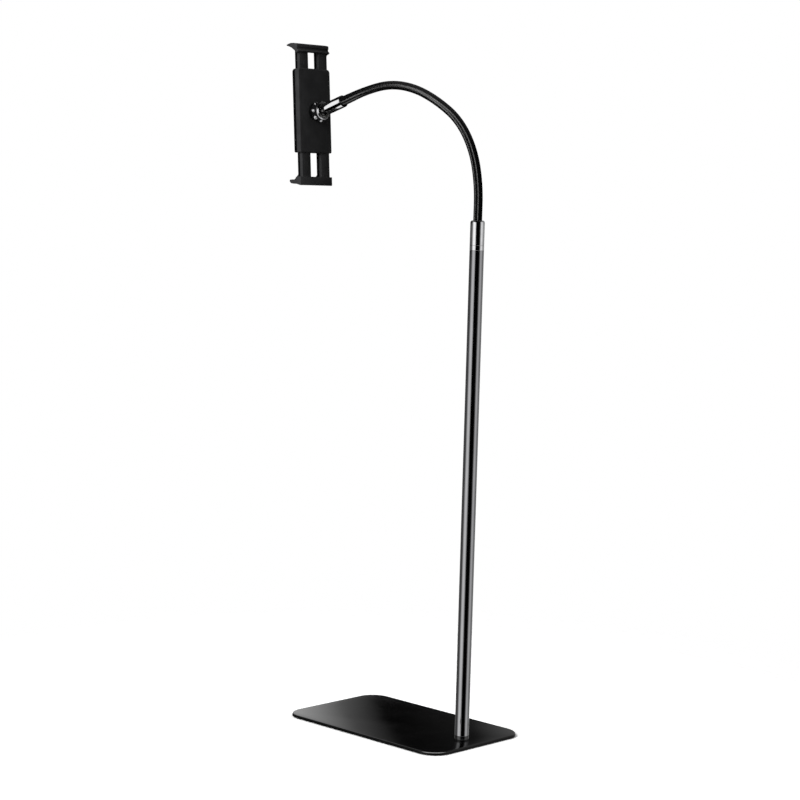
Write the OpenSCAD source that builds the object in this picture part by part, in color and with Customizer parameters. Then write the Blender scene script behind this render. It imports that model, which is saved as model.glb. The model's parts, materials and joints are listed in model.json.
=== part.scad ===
// Floor stand for a tablet: a heavy plate, a slim pole, a flexible arm and a holder with sliding jaws.
// Millimetres, +Z up. The origin is on the floor, under the middle of the base plate.
// The pole stands near the plate's +X end, and the arm bows over towards -X.

/* [Base] */
// Length of the base plate
base_length = 305; // [270:1:360]
// Width of the base plate
base_width = 187; // [165:1:230]
// Thickness of the base plate
base_thickness = 4; // [3.5:0.1:6]
// Corner radius of the base plate
base_corner = 30; // [20:1:40]
// Bevel round the plate's top edge
base_bevel = 0.8; // [0.4:0.1:1.5]
// Height of the rubber feet
foot_height = 1; // [0.8:0.1:3]
// Diameter of the rubber feet
foot_diameter = 16; // [12:1:20]
// Distance of the pole's axis from the plate's end
pole_setback = 35.5; // [30:0.5:60]

/* [Pole] */
// Outer diameter of the pole
pole_diameter = 20; // [18:0.5:24]
// Wall of the pole's tube
pole_wall = 1.2; // [1:0.1:1.6]
// Length of the pole's tube
pole_length = 683.5; // [450:0.5:900]
// Height of the bright ring on top of the pole
ring_height = 6.8; // [4:0.1:10]
// Height of the collar that holds the arm
collar_height = 34.2; // [32:0.1:50]
// Height of the collar's rim above the root of the arm
collar_rim = 1.4; // [0.5:0.1:3]

/* [Flexible arm] */
// Diameter of the arm's sleeve
neck_diameter = 12.3; // [11:0.1:13]
// Length of the arm between the collar and the ferrule
neck_length = 393.8; // [340:0.1:460]
// Degrees that the arm turns in its four lower sections
neck_low_turns = [13.6, 20.9, 23.2, 9.8];
// Degrees that the arm turns in its three upper sections
neck_high_turns = [15, 17.4, 7.7];
// Length of the ferrule at the arm's end
ferrule_length = 35.1; // [30:0.1:45]

/* [Ball joint] */
// Diameter of the ball
ball_diameter = 17; // [16:0.5:18]
// Distance of the ball's centre from the holder's back
ball_offset = 15; // [14.5:0.1:17]
// Distance of the ball's centre from the end of the ferrule
ball_reach = 11.6; // [11.2:0.1:15]
// Outer radius of the lock nut over its lobes
nut_radius = 16.2; // [15.8:0.1:18]
// Number of lobes on the lock nut
nut_lobes = 7; // [6:1:10]

/* [Holder] */
// Width of the holder
holder_width = 64; // [60:1:76]
// Height of the holder's body
holder_height = 124; // [118:0.1:140]
// Depth of the holder's body
holder_depth = 14; // [13.6:0.1:17]
// How far the body's middle stands above the ball
body_rise = 1.5; // [0:0.1:4]
// Degrees that the holder's top leans away from the pole
holder_lean = 4.2; // [0:0.1:12]
// Radius of the body's top corners
shoulder_radius = 5; // [2:0.5:8]

/* [Jaws] */
// Width of each rail
rail_width = 17.2; // [14:0.1:18]
// Clear width between a jaw's two rails
rail_gap = 20.8; // [18:0.1:22]
// Thickness of the rails
rail_depth = 10.4; // [9:0.1:10.8]
// How far the upper jaw stands drawn out of the body
upper_pull = 23.4; // [5:0.1:36]
// How far the lower jaw stands drawn out of the body
lower_pull = 35.4; // [5:0.1:44]
// How far the upper hook's tip stands in front of its rails
upper_reach = 12.5; // [11:0.1:20]
// How far the lower hook's tip stands in front of its rails
lower_reach = 13.9; // [12:0.1:20]

/* [Hidden] */
$fn = 96;
eps = 0.01;

// levels up the pole
plate_top = foot_height + base_thickness;
washer_height = 5;
washer_edge = 0.4;
tube_low = plate_top + washer_height;
tube_high = tube_low + pole_length;
ring_high = tube_high + ring_height;
swivel_gap = 0.1;
collar_low = ring_high + swivel_gap;
collar_high = collar_low + collar_height;
pole_x = base_length / 2 - pole_setback;
pole_r = pole_diameter / 2;
bore_r = pole_r - pole_wall;
foot_r = foot_diameter / 2;
foot_inset = base_corner - (base_corner - foot_r - 4) / sqrt(2);

// screwed joints of the pole
bolt_r = 4;
bolt_head = min(base_thickness * 0.85, 3.6);
bolt_length = 34;
plug_length = 32;
stud_r = 4.95;
stud_bore = 5;
stud_length = 22;

// the flexible arm, as sections with a ball and socket between each and the next
turns = concat([0], neck_low_turns, neck_high_turns, [0]);
sections = len(turns);
pitch = neck_length / (sections - 1);
sleeve_r = neck_diameter / 2;
core_r = 4.35;
core_fit = 0.05;
knuckle_r = 3.2;
knuckle_fit = 0.15;
knuckle_neck = 1.6;
socket_drop = 1.9;
core_stop = 3.9;
sleeve_stop = 4.5;
root_core = 22;
root_sleeve = 16;

// the ferrule and the ball
boot_r = sleeve_r + 0.75;
ferrule_r = sleeve_r + 2.75;
ferrule_edge = 0.6;
ferrule_sleeve = 12;
ferrule_core = 15;
ball_r = ball_diameter / 2;
stud_neck = 3.5;
shank_r = 3;
stud_reach = ferrule_length + ball_reach;
liner_fit = 0.1;
liner_in = ball_r + liner_fit;
liner_out = liner_in + 1.85;
cup_r = liner_out + liner_fit;
thread_r = cup_r + 1.85;
nut_bore = thread_r + 0.1;
nut_low = 6.4;
lip_low = ball_offset + 3.3;
nut_high = lip_low + 1.5;
nut_shoulder = ball_offset + 1.4;
nut_core_r = nut_bore + 1;
lobe_r = 3.4;
lobe_top = nut_low + 2.7;
nut_turn = 8;
flange_r = thread_r + 0.8;
flange_h = 2.6;

// the holder's body, behind its back face at local x = 0
half_w = holder_width / 2;
half_h = holder_height / 2;
rail_in = rail_gap / 2;
rail_out = rail_in + rail_width;
rail_mid = rail_in + rail_width / 2;
rail_fit = 0.25;
rail_back = -1.5;
rail_front = rail_back - rail_depth;
split = rail_front + 4;
pad_h = 1;
peg_r = 2.3;
peg_z = half_h - 9.7;
groove_w = 5.4;
groove_d = 3;
pad_margin = 7;
strip_h = 5;
strip_z = half_h - 3.7;
strip_depth = 1.1;
strip_fit = 0.05;
strip_y = rail_out - 1.2;
screw_y = 5;
screw_inset = 14;
screw_z = half_h - screw_inset;
screw_r = 1.2;
socket_screw_z = thread_r - 1.4;

// jaw travel and rail lengths; the flare and the ramp next to the crossbars stop the jaws at the body
upper_flare = 4.8;
lower_flare = 0.6;
lower_ramp = 3.4;
jaw_stop = 0.4;
groove_fit = 0.3;
rail_web = 3.5;
meet_z = 4;
meet_gap = 0.5;
upper_out = 16;
lower_out = 12;
upper_groove = peg_z - upper_out - peg_r - groove_fit;
lower_groove = peg_z - lower_out - peg_r - groove_fit;
upper_end = upper_groove - rail_web;
lower_end = lower_groove - rail_web;
upper_in = min(upper_pull - upper_flare - jaw_stop, upper_end - meet_z - meet_gap);
lower_in = min(lower_pull - lower_ramp - jaw_stop, lower_end + meet_z - meet_gap);
upper_z = half_h + upper_pull;
lower_z = half_h + lower_pull;
upper_tip = rail_front - upper_reach;
lower_tip = rail_front - lower_reach;
hook_pad = 0.8;
// the upper hook's sloping seat for its pad, from the lip down to the root
upper_lip = upper_tip + 2;
upper_root = rail_front - 1.2;
seat_high = 10.9;
seat_low = 7.1;
flare_depth = 3;
// the lower crossbar, and its hook's flat seat
lower_bar = 12.7;
lower_lip = lower_tip + 2.6;
lower_root = rail_front - 7.4;
lower_flat = 4.2;

// the arm's sections: half ones at both ends, which are straight, and whole ones between, which are arcs
function span(k) = (k == 0 || k == sections - 1) ? pitch / 2 : pitch;
function bow(k) = span(k) * 180 / (PI * turns[k]);
// heading of section k's start, in degrees from upright towards -X, and where it is
function heading(k) = k == 0 ? 0 : heading(k - 1) + turns[k - 1];
function step_x(k) = turns[k] == 0 ? -span(k) * sin(heading(k))
    : bow(k) * (cos(heading(k + 1)) - cos(heading(k)));
function step_z(k) = turns[k] == 0 ? span(k) * cos(heading(k))
    : bow(k) * (sin(heading(k + 1)) - sin(heading(k)));
function start_x(k) = k == 0 ? pole_x : start_x(k - 1) + step_x(k - 1);
function start_z(k) = k == 0 ? collar_high - collar_rim : start_z(k - 1) + step_z(k - 1);

ball_x = start_x(sections) - stud_reach * sin(heading(sections));
ball_z = start_z(sections) + stud_reach * cos(heading(sections));

module on_pole(z) { translate([pole_x, 0, z]) children(); }
module at_section(k) { translate([start_x(k), 0, start_z(k)]) rotate([0, -heading(k), 0]) children(); }
// the holder's own frame, with x = 0 at the body's back face:
// level with the ball, and with the body's middle
module in_socket() {
    translate([ball_x, 0, ball_z]) rotate([0, -holder_lean, 0]) translate([-ball_offset, 0, 0]) children();
}
module in_holder() { in_socket() translate([0, 0, body_rise]) children(); }
// turns a shape made along +Z so that it runs along +X
module along_x() { rotate([0, 90, 0]) children(); }
// extrudes an outline drawn in y and z, from x = low to x = high
module extrude_x(low, high) {
    translate([low, 0, 0]) rotate([90, 0, 90]) linear_extrude(high - low) children();
}
// extrudes a profile drawn in x and z, from y = low to y = high
module extrude_y(low, high) {
    translate([0, high, 0]) rotate([90, 0, 0]) linear_extrude(high - low) children();
}

// base plate and feet
module plate_profile(w) {
    t = base_thickness;
    b = base_bevel;
    polygon([[-w / 2, 0], [w / 2, 0], [w / 2, t - b], [w / 2 - b, t], [-w / 2 + b, t], [-w / 2, t - b]]);
}
module plate_blank() {
    r = base_corner;
    l = base_length / 2 - r;
    w = base_width / 2 - r;
    extrude_x(-l, l) plate_profile(base_width);
    extrude_y(-w, w) plate_profile(base_length);
    for (sx = [-1, 1], sy = [-1, 1]) translate([sx * l, sy * w, 0]) {
        cylinder(r = r, h = base_thickness - base_bevel);
        translate([0, 0, base_thickness - base_bevel]) cylinder(r1 = r, r2 = r - base_bevel, h = base_bevel);
    }
}
module base_plate() color([0.05, 0.05, 0.055]) difference() {
    translate([0, 0, foot_height]) plate_blank();
    on_pole(foot_height) {
        translate([0, 0, -1]) cylinder(r = bolt_r, h = base_thickness + 2);
        cylinder(r1 = bolt_r + bolt_head, r2 = bolt_r, h = bolt_head);
    }
}
module foot(sx, sy) color([0.03, 0.03, 0.03])
    translate([sx * (base_length / 2 - foot_inset), sy * (base_width / 2 - foot_inset), 0])
        cylinder(r = foot_r, h = foot_height);
module foot_left_front() { foot(-1, -1); }
module foot_left_back() { foot(-1, 1); }
module foot_right_front() { foot(1, -1); }
module foot_right_back() { foot(1, 1); }
module foot_middle() { foot(0, 0); }

// pole
module base_bolt() color([0.6, 0.6, 0.62]) on_pole(foot_height) difference() {
    union() {
        cylinder(r1 = bolt_r + bolt_head, r2 = bolt_r, h = bolt_head);
        cylinder(r = bolt_r, h = bolt_length);
    }
    translate([0, 0, -eps]) cylinder(r = 2.9, h = 2, $fn = 6);
}
module pole_washer() color([0.03, 0.03, 0.03]) on_pole(plate_top) difference() {
    union() {
        cylinder(r = pole_r, h = washer_height - washer_edge);
        translate([0, 0, washer_height - washer_edge])
            cylinder(r1 = pole_r, r2 = pole_r - washer_edge, h = washer_edge);
    }
    translate([0, 0, -1]) cylinder(r = bolt_r, h = washer_height + 2);
}
module pole_foot_plug() color([0.6, 0.6, 0.62]) on_pole(tube_low) difference() {
    cylinder(r = bore_r, h = plug_length);
    translate([0, 0, -1]) cylinder(r = bolt_r, h = plug_length + 2);
}
module pole_tube() color([0.2, 0.2, 0.21]) on_pole(tube_low) difference() {
    cylinder(r = pole_r, h = pole_length);
    translate([0, 0, -1]) cylinder(r = bore_r, h = pole_length + 2);
}
module pole_top_plug() color([0.6, 0.6, 0.62]) on_pole(tube_high - plug_length) difference() {
    cylinder(r = bore_r, h = plug_length);
    translate([0, 0, -1]) cylinder(r = stud_bore, h = plug_length + 2);
}
module pole_top_ring() color([0.75, 0.75, 0.76]) on_pole(tube_high) rotate_extrude() {
    translate([stud_bore, 0]) square([pole_r - stud_bore - 0.6, ring_height]);
    translate([stud_bore, 0.6]) square([pole_r - stud_bore, ring_height - 1.2]);
    for (z = [0.6, ring_height - 0.6]) translate([pole_r - 0.6, z]) circle(0.6);
}

// arm: collar, core and sleeve sections
module neck_collar() color([0.75, 0.75, 0.76]) on_pole(collar_low) {
    top = 3;
    root = collar_height - collar_rim;
    rotate_extrude() difference() {
        union() {
            square([pole_r, collar_height - top]);
            square([pole_r - top, collar_height]);
            translate([pole_r - top, collar_height - top]) circle(top);
        }
        translate([-1, root - root_core]) square([core_r + 1, root_core + 1]);
        translate([-1, root - root_sleeve]) square([sleeve_r + 1, root_sleeve + collar_rim + 1]);
        translate([-2 * pole_r, -1]) square([2 * pole_r, collar_height + 2]);
    }
    translate([0, 0, -stud_length]) cylinder(r = stud_r, h = stud_length + 1);
}
// a round rod along section k, between two lengths from its start; below the start it is straight
module section_rod(k, r, from, to) {
    if (turns[k] == 0) translate([0, 0, from]) cylinder(r = r, h = to - from);
    else {
        if (from < 0) translate([0, 0, from]) cylinder(r = r, h = -from);
        translate([-bow(k), 0, 0]) rotate([90, 0, 0])
            rotate_extrude(angle = turns[k] * to / span(k)) translate([bow(k), 0]) circle(r);
    }
}
module neck_core(k) color([0.55, 0.55, 0.56]) {
    last = k == sections - 1;
    at_section(k) difference() {
        section_rod(k, core_r, k == 0 ? -root_core : -socket_drop,
            span(k) + (last ? ferrule_core : -core_stop));
        if (k > 0) sphere(r = knuckle_r + knuckle_fit);
    }
    if (!last) at_section(k + 1) {
        sphere(r = knuckle_r);
        translate([0, 0, -core_stop - 0.6]) cylinder(r = knuckle_neck, h = core_stop - 1);
    }
}
module neck_sleeve(k) color([0.02, 0.02, 0.02]) {
    last = k == sections - 1;
    low = k == 0 ? root_sleeve : socket_drop;
    high = span(k) + (last ? ferrule_sleeve : -sleeve_stop);
    at_section(k) difference() {
        if (last) {
            translate([0, 0, -low]) cylinder(r1 = sleeve_r + 0.3, r2 = boot_r, h = low + span(k));
            translate([0, 0, span(k)]) cylinder(r = boot_r, h = ferrule_sleeve);
        } else section_rod(k, sleeve_r, -low, high);
        translate([0, 0, -low - 1]) cylinder(r = core_r, h = low + 1);
        section_rod(k, turns[k] == 0 ? core_r : core_r + core_fit, 0, high + 0.2);
    }
}
module neck_core_0() { neck_core(0); }
module neck_core_1() { neck_core(1); }
module neck_core_2() { neck_core(2); }
module neck_core_3() { neck_core(3); }
module neck_core_4() { neck_core(4); }
module neck_core_5() { neck_core(5); }
module neck_core_6() { neck_core(6); }
module neck_core_7() { neck_core(7); }
module neck_core_8() { neck_core(8); }
module neck_sleeve_0() { neck_sleeve(0); }
module neck_sleeve_1() { neck_sleeve(1); }
module neck_sleeve_2() { neck_sleeve(2); }
module neck_sleeve_3() { neck_sleeve(3); }
module neck_sleeve_4() { neck_sleeve(4); }
module neck_sleeve_5() { neck_sleeve(5); }
module neck_sleeve_6() { neck_sleeve(6); }
module neck_sleeve_7() { neck_sleeve(7); }
module neck_sleeve_8() { neck_sleeve(8); }

// arm's end: ferrule and ball stud, along the arm's last heading
module end_ferrule() color([0.75, 0.75, 0.76]) at_section(sections) {
    nose = 2;
    shank_low = ferrule_core + 2;
    rotate_extrude() difference() {
        polygon([[0, 0], [ferrule_r - ferrule_edge, 0], [ferrule_r, ferrule_edge],
            [ferrule_r, ferrule_length - nose], [ferrule_r - 1.2, ferrule_length], [0, ferrule_length]]);
        translate([-1, -1]) square([boot_r + 1, ferrule_sleeve + 1]);
        translate([-1, -1]) square([core_r + 1, ferrule_core + 1]);
        translate([-1, shank_low]) square([shank_r + 1, ferrule_length]);
        translate([-1, ferrule_length - 6]) square([stud_neck + 1, 7]);
        translate([-2 * ferrule_r, -1]) square([2 * ferrule_r, ferrule_length + 2]);
    }
}
module ball_stud() color([0.03, 0.03, 0.03]) at_section(sections) {
    translate([0, 0, stud_reach]) sphere(r = ball_r);
    translate([0, 0, ferrule_length - 6]) cylinder(r = stud_neck, h = ball_reach + 1);
    translate([0, 0, ferrule_core + 3]) cylinder(r = shank_r, h = ferrule_length - ferrule_core - 9 + eps);
}

// ball joint on the holder's back
module liner(low, high) {
    intersection() {
        translate([ball_offset, 0, 0]) difference() {
            sphere(r = liner_out);
            sphere(r = liner_in);
        }
        translate([ball_offset + low, 0, 0]) along_x() cylinder(r = 2 * liner_out, h = high - low);
    }
}
module ball_seat_back() color([0.85, 0.85, 0.82]) in_socket() liner(-liner_out - 1, -0.82 * ball_r);
module ball_seat_front() color([0.1, 0.1, 0.1]) in_socket() liner(-1.3, 3.2);
module ball_socket() color([0.03, 0.03, 0.03]) in_socket() difference() {
    along_x() rotate_extrude() difference() {
        union() {
            square([flange_r, flange_h]);
            square([thread_r, ball_offset + 1.2]);
        }
        translate([0, ball_offset]) circle(cup_r);
        translate([0, ball_offset]) square([cup_r, 5]);
        translate([-2 * cup_r, 0]) square([2 * cup_r, 4 * cup_r]);
    }
    for (s = [-1, 1]) translate([-1, 0, s * socket_screw_z]) along_x() cylinder(r = screw_r, h = 5.2);
}
// a lobe of the nut, with a round end
module nut_lobe() rotate_extrude() intersection() {
    union() {
        square([lobe_r, lobe_top]);
        translate([0, lobe_top]) circle(lobe_r);
    }
    translate([0, nut_low]) square([lobe_r, nut_high]);
}
module lock_nut() color([0.03, 0.03, 0.03]) in_socket() along_x() difference() {
    union() {
        rotate_extrude() polygon([[0, nut_low], [nut_core_r - 0.5, nut_low], [nut_core_r, nut_low + 0.5],
            [nut_core_r, nut_shoulder + 0.4], [nut_core_r - 0.9, lip_low],
            [nut_core_r - 2.1, nut_high - 0.5], [nut_core_r - 3.3, nut_high], [0, nut_high]]);
        for (a = [0 : nut_lobes - 1]) rotate([0, 0, nut_turn + a * 360 / nut_lobes])
            translate([nut_radius - lobe_r, 0, 0]) nut_lobe();
    }
    cylinder(r = nut_bore, h = nut_shoulder);
    cylinder(r = liner_out + 0.2, h = lip_low);
    translate([0, 0, lip_low - eps])
        cylinder(r1 = ball_r + 0.2, r2 = ball_r + 0.9, h = nut_high - lip_low + 2 * eps);
}

// holder body
module body_outline() {
    r = shoulder_radius;
    f = 1.2;
    translate([-half_w, -half_h + f]) square([holder_width, holder_height - r - f]);
    translate([-half_w + r, half_h - r - 1]) square([holder_width - 2 * r, r + 1]);
    translate([-half_w + f, -half_h]) square([holder_width - 2 * f, f + 1]);
    for (s = [-1, 1]) {
        translate([s * (half_w - r), half_h - r]) circle(r);
        translate([s * (half_w - f), -half_h + f]) circle(f);
    }
}
// the two rail channels, from depth low to depth high
module channels(low, high) {
    for (s = [-1, 1]) translate([0, s * rail_mid, 0])
        translate([low, -rail_width / 2 - rail_fit, -half_h - 1])
            cube([high - low, rail_width + 2 * rail_fit, holder_height + 2]);
}
module shell_screw_sites() {
    for (sy = [-1, 1], sz = [-1, 1]) translate([0, sy * screw_y, sz * screw_z]) children();
}
module rear_shell() color([0.03, 0.03, 0.032]) in_holder() difference() {
    extrude_x(split, 0) body_outline();
    channels(split - 1, rail_back + rail_fit);
    translate([0, 0, -body_rise]) {
        translate([split - 1, -4, -socket_screw_z - 4]) cube([-split - 2, 8, 2 * socket_screw_z + 8]);
        for (s = [-1, 1]) translate([-4, 0, s * socket_screw_z]) along_x() cylinder(r = screw_r, h = 5);
    }
    shell_screw_sites() translate([split - 1, 0, 0]) along_x() cylinder(r = screw_r, h = -split - 0.8);
}
module front_shell() color([0.03, 0.03, 0.032]) in_holder() {
    difference() {
        extrude_x(-holder_depth, split) body_outline();
        channels(rail_front - rail_fit, split + 1);
        for (s = [-1, 1]) translate([rail_front - strip_depth, -strip_y, s * strip_z - strip_h / 2])
            cube([rail_depth, 2 * strip_y, strip_h]);
        shell_screw_sites() {
            translate([-holder_depth - 1, 0, 0]) along_x() cylinder(r = 2.4, h = 2.7);
            translate([-holder_depth, 0, 0]) along_x() cylinder(r = screw_r, h = holder_depth);
        }
    }
    for (sy = [-1, 1], sz = [-1, 1]) translate([rail_front - 0.6, sy * rail_mid, sz * peg_z])
        along_x() cylinder(r = peg_r, h = groove_d + 0.2);
}
module shell_screw(sy, sz) color([0.6, 0.6, 0.62]) in_holder()
    translate([-holder_depth + 0.1, sy * screw_y, sz * screw_z]) along_x() difference() {
        union() {
            cylinder(r = 2.2, h = 1.6);
            cylinder(r = screw_r, h = holder_depth - 3.2);
        }
        for (a = [0, 90]) rotate([0, 0, a]) translate([-1.4, -0.25, -1]) cube([2.8, 0.5, 1.8]);
    }
module shell_screw_1() { shell_screw(-1, -1); }
module shell_screw_2() { shell_screw(1, -1); }
module shell_screw_3() { shell_screw(-1, 1); }
module shell_screw_4() { shell_screw(1, 1); }
module socket_screw(s) color([0.6, 0.6, 0.62]) in_socket()
    translate([-4.6, 0, s * socket_screw_z]) along_x() {
        cylinder(r = 2.3, h = 1.6);
        cylinder(r = screw_r, h = 8.6);
    }
module socket_screw_high() { socket_screw(1); }
module socket_screw_low() { socket_screw(-1); }
module front_pad() color([0.05, 0.05, 0.05]) in_holder()
    translate([-holder_depth - pad_h, -half_w + pad_margin, -half_h + pad_margin])
        cube([pad_h, holder_width - 2 * pad_margin, holder_height - 2 * pad_margin]);
module brake(s) color([0.2, 0.2, 0.2]) in_holder()
    translate([rail_front - strip_depth, -strip_y + strip_fit, s * strip_z - strip_h / 2])
        cube([strip_depth - strip_fit, 2 * (strip_y - strip_fit), strip_h]);
module upper_brake() { brake(1); }
module lower_brake() { brake(-1); }

// jaws, drawn with z counted outwards from the body's middle; the lower one is turned over
// extrudes a profile drawn in x and z over the width of each rail
module on_rails() {
    for (s = [-1, 1]) extrude_y(s * rail_mid - rail_width / 2, s * rail_mid + rail_width / 2) children();
}
// widens the rails at their back to the crossbar's ends
module flares(low, high, depth) {
    for (s = [0, 1]) mirror([0, s, 0]) extrude_x(rail_back - depth, rail_back)
        polygon([[rail_out - 1, low], [rail_out, low], [half_w, high], [half_w, high + 1],
            [rail_out - 1, high + 1]]);
}
module stop_grooves(low, high) {
    for (s = [-1, 1]) translate([rail_front, s * rail_mid, 0]) {
        translate([-1, -groove_w / 2, low]) cube([groove_d + 1, groove_w, high - low]);
    }
}
module upper_jaw() color([0.03, 0.03, 0.032]) in_holder() difference() {
    z = upper_z;
    union() {
        on_rails() polygon([[rail_front, upper_end], [rail_back, upper_end], [rail_back, z + 1],
            [rail_back - 2, z + 3], [rail_back - 2, z + 8], [rail_front, z + 8]]);
        flares(z - upper_flare, z, flare_depth);
        extrude_y(-half_w, half_w) polygon([
            [rail_back - flare_depth, z], [rail_back, z], [0.4, z + 0.8], [0.4, z + 1.6], [-1.4, z + 3.4],
            [-2.4, z + 3.9], [-2.4, z + 6.4], [-1.6, z + 7.2], [-1.6, z + 10.9], [-2.6, z + 11.9],
            [-9, z + 13.4], [rail_front - 3.5, z + 13.9], [upper_tip + 3, z + 12.9],
            [upper_tip + 0.6, z + 12], [upper_tip, z + 11.2], [upper_tip + 0.4, z + seat_high - 0.2],
            [upper_lip, z + seat_high - hook_pad], [upper_lip, z + seat_high],
            [upper_root, z + seat_low], [upper_root, z + seat_low - hook_pad]]);
    }
    stop_grooves(upper_groove, peg_z + upper_in + peg_r + groove_fit);
}
module upper_jaw_pad() color([0.1, 0.1, 0.1]) in_holder() extrude_y(1 - half_w, half_w - 1) polygon([
    [upper_lip, upper_z + seat_high], [upper_root, upper_z + seat_low],
    [upper_root, upper_z + seat_low - hook_pad], [upper_lip, upper_z + seat_high - hook_pad]]);
module lower_jaw() color([0.03, 0.03, 0.032]) in_holder() mirror([0, 0, 1]) difference() {
    z = lower_z;
    seat = z + lower_flat;
    union() {
        on_rails() polygon([[rail_front, lower_end], [rail_back, lower_end], [rail_back, z + 5],
            [lower_root, seat + 1], [lower_root, seat - hook_pad - 0.6], [rail_front, z - lower_ramp]]);
        flares(z - lower_flare, z, rail_depth);
        extrude_y(-half_w, half_w) polygon(concat(
            [[rail_front + 1, z], [-1.3, z], [-1.3, z + lower_bar - 0.8], [-2.1, z + lower_bar],
                [-3.5, z + lower_bar], [rail_front + 1, z + lower_bar - 2.2],
                [lower_root + 1, z + lower_bar - 2.9], [lower_tip + 3.2, seat + 4.7],
                [lower_tip + 1.3, seat + 3.4], [lower_tip, seat + 1.2], [lower_tip + 0.5, seat - 0.1],
                [lower_tip + 1.4, seat - hook_pad], [lower_lip, seat - hook_pad], [lower_lip, seat]],
            [for (a = [90 : -15 : 0]) [rail_front + (lower_root - rail_front) * (1 - cos(a)),
                z + lower_flat * sin(a)]]));
    }
    stop_grooves(lower_groove, peg_z + lower_in + peg_r + groove_fit);
}
module lower_jaw_pad() color([0.1, 0.1, 0.1]) in_holder() mirror([0, 0, 1])
    translate([lower_lip, 1 - half_w, lower_z + lower_flat - hook_pad])
        cube([lower_root - lower_lip, holder_width - 2, hook_pad]);

base_plate();
foot_left_front();
foot_left_back();
foot_right_front();
foot_right_back();
foot_middle();
base_bolt();
pole_washer();
pole_foot_plug();
pole_tube();
pole_top_plug();
pole_top_ring();
neck_collar();
neck_core_0();
neck_core_1();
neck_core_2();
neck_core_3();
neck_core_4();
neck_core_5();
neck_core_6();
neck_core_7();
neck_core_8();
neck_sleeve_0();
neck_sleeve_1();
neck_sleeve_2();
neck_sleeve_3();
neck_sleeve_4();
neck_sleeve_5();
neck_sleeve_6();
neck_sleeve_7();
neck_sleeve_8();
end_ferrule();
ball_stud();
ball_seat_back();
ball_seat_front();
rear_shell();
front_shell();
ball_socket();
socket_screw_high();
socket_screw_low();
shell_screw_1();
shell_screw_2();
shell_screw_3();
shell_screw_4();
front_pad();
upper_brake();
lower_brake();
lock_nut();
upper_jaw();
upper_jaw_pad();
lower_jaw();
lower_jaw_pad();
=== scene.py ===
"""Looks of an adjustable tablet floor stand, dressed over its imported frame.

The stand is a heavy plate, a slim pole, a flexible arm and a ball-jointed holder with two sliding jaws.
Sizes are in metres, in the frame of the part: +Z up, the origin on the floor under the middle of the plate.
"""

from __future__ import annotations

import json
import logging
import math
from dataclasses import dataclass, field
from enum import Enum
from itertools import pairwise
from typing import Callable, Iterable, Sequence

import bpy
from mathutils import Matrix, Vector

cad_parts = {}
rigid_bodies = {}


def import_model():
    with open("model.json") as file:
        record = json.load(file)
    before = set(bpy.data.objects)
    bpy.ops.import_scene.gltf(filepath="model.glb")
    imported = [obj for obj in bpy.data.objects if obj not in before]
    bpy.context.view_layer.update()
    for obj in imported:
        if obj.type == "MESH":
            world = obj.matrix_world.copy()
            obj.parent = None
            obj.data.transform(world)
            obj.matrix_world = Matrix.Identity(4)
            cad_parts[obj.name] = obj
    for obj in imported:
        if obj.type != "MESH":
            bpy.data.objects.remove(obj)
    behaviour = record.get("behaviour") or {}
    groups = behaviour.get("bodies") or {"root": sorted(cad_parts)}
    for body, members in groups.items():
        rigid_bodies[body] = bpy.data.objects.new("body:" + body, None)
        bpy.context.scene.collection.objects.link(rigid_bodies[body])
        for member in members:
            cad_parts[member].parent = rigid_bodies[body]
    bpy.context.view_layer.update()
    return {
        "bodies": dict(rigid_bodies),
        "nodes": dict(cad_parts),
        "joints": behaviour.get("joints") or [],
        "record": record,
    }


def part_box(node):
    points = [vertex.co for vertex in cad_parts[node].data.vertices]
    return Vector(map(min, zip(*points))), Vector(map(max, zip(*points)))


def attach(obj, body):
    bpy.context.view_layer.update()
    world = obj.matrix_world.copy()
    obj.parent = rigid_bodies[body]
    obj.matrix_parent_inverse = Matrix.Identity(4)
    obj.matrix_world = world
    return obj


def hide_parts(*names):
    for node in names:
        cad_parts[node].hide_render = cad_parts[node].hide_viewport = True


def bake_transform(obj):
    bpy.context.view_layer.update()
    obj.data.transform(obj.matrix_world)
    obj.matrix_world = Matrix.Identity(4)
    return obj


LOG = logging.getLogger("tablet_stand")
MM = 0.001
WELD = 1e-7
SMOOTH_ANGLE = math.radians(32)
UP = Vector((0, 0, 1))
ACROSS = Vector((0, 1, 0))

Object = bpy.types.Object
Node = bpy.types.Node
Tree = bpy.types.NodeTree
Inputs = dict[str | int, object]
Outline = list[tuple[float, float]]
EdgeTest = Callable[[Vector, Vector], bool]
FaceTest = Callable[[bpy.types.MeshPolygon], bool]


# Modelling by hand: selecting, drawing, turning, extruding, cutting

def leave_edit() -> None:
    """Go back to object mode with nothing selected."""
    if bpy.context.mode != "OBJECT":
        bpy.ops.object.mode_set(mode="OBJECT")
    bpy.ops.object.select_all(action="DESELECT")


def take(piece: Object) -> None:
    """Select one piece alone, and make it the active one."""
    leave_edit()
    piece.select_set(True)
    bpy.context.view_layer.objects.active = piece


def arc(centre: tuple[float, float], radius: float, start: float, end: float, steps: int = 6) -> Outline:
    """Points along a circular arc in a plane.

    Args:
        centre: Centre of the arc.
        radius: Radius of the arc.
        start: First angle, in degrees.
        end: Last angle, in degrees.
        steps: Number of steps between the two.

    Returns:
        The points, both ends included.
    """
    angles = [math.radians(start + (end - start) * i / steps) for i in range(steps + 1)]
    return [(centre[0] + radius * math.cos(a), centre[1] + radius * math.sin(a)) for a in angles]


def edit(piece: Object, kind: str = "VERT", action: str = "SELECT") -> None:
    """Go into edit mode on a piece.

    Args:
        piece: Piece to shape.
        kind: What is selected there, VERT or EDGE.
        action: SELECT to start with everything selected, DESELECT with nothing.
    """
    take(piece)
    bpy.ops.object.mode_set(mode="EDIT")
    bpy.ops.mesh.select_mode(type=kind)
    bpy.ops.mesh.select_all(action=action)


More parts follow.
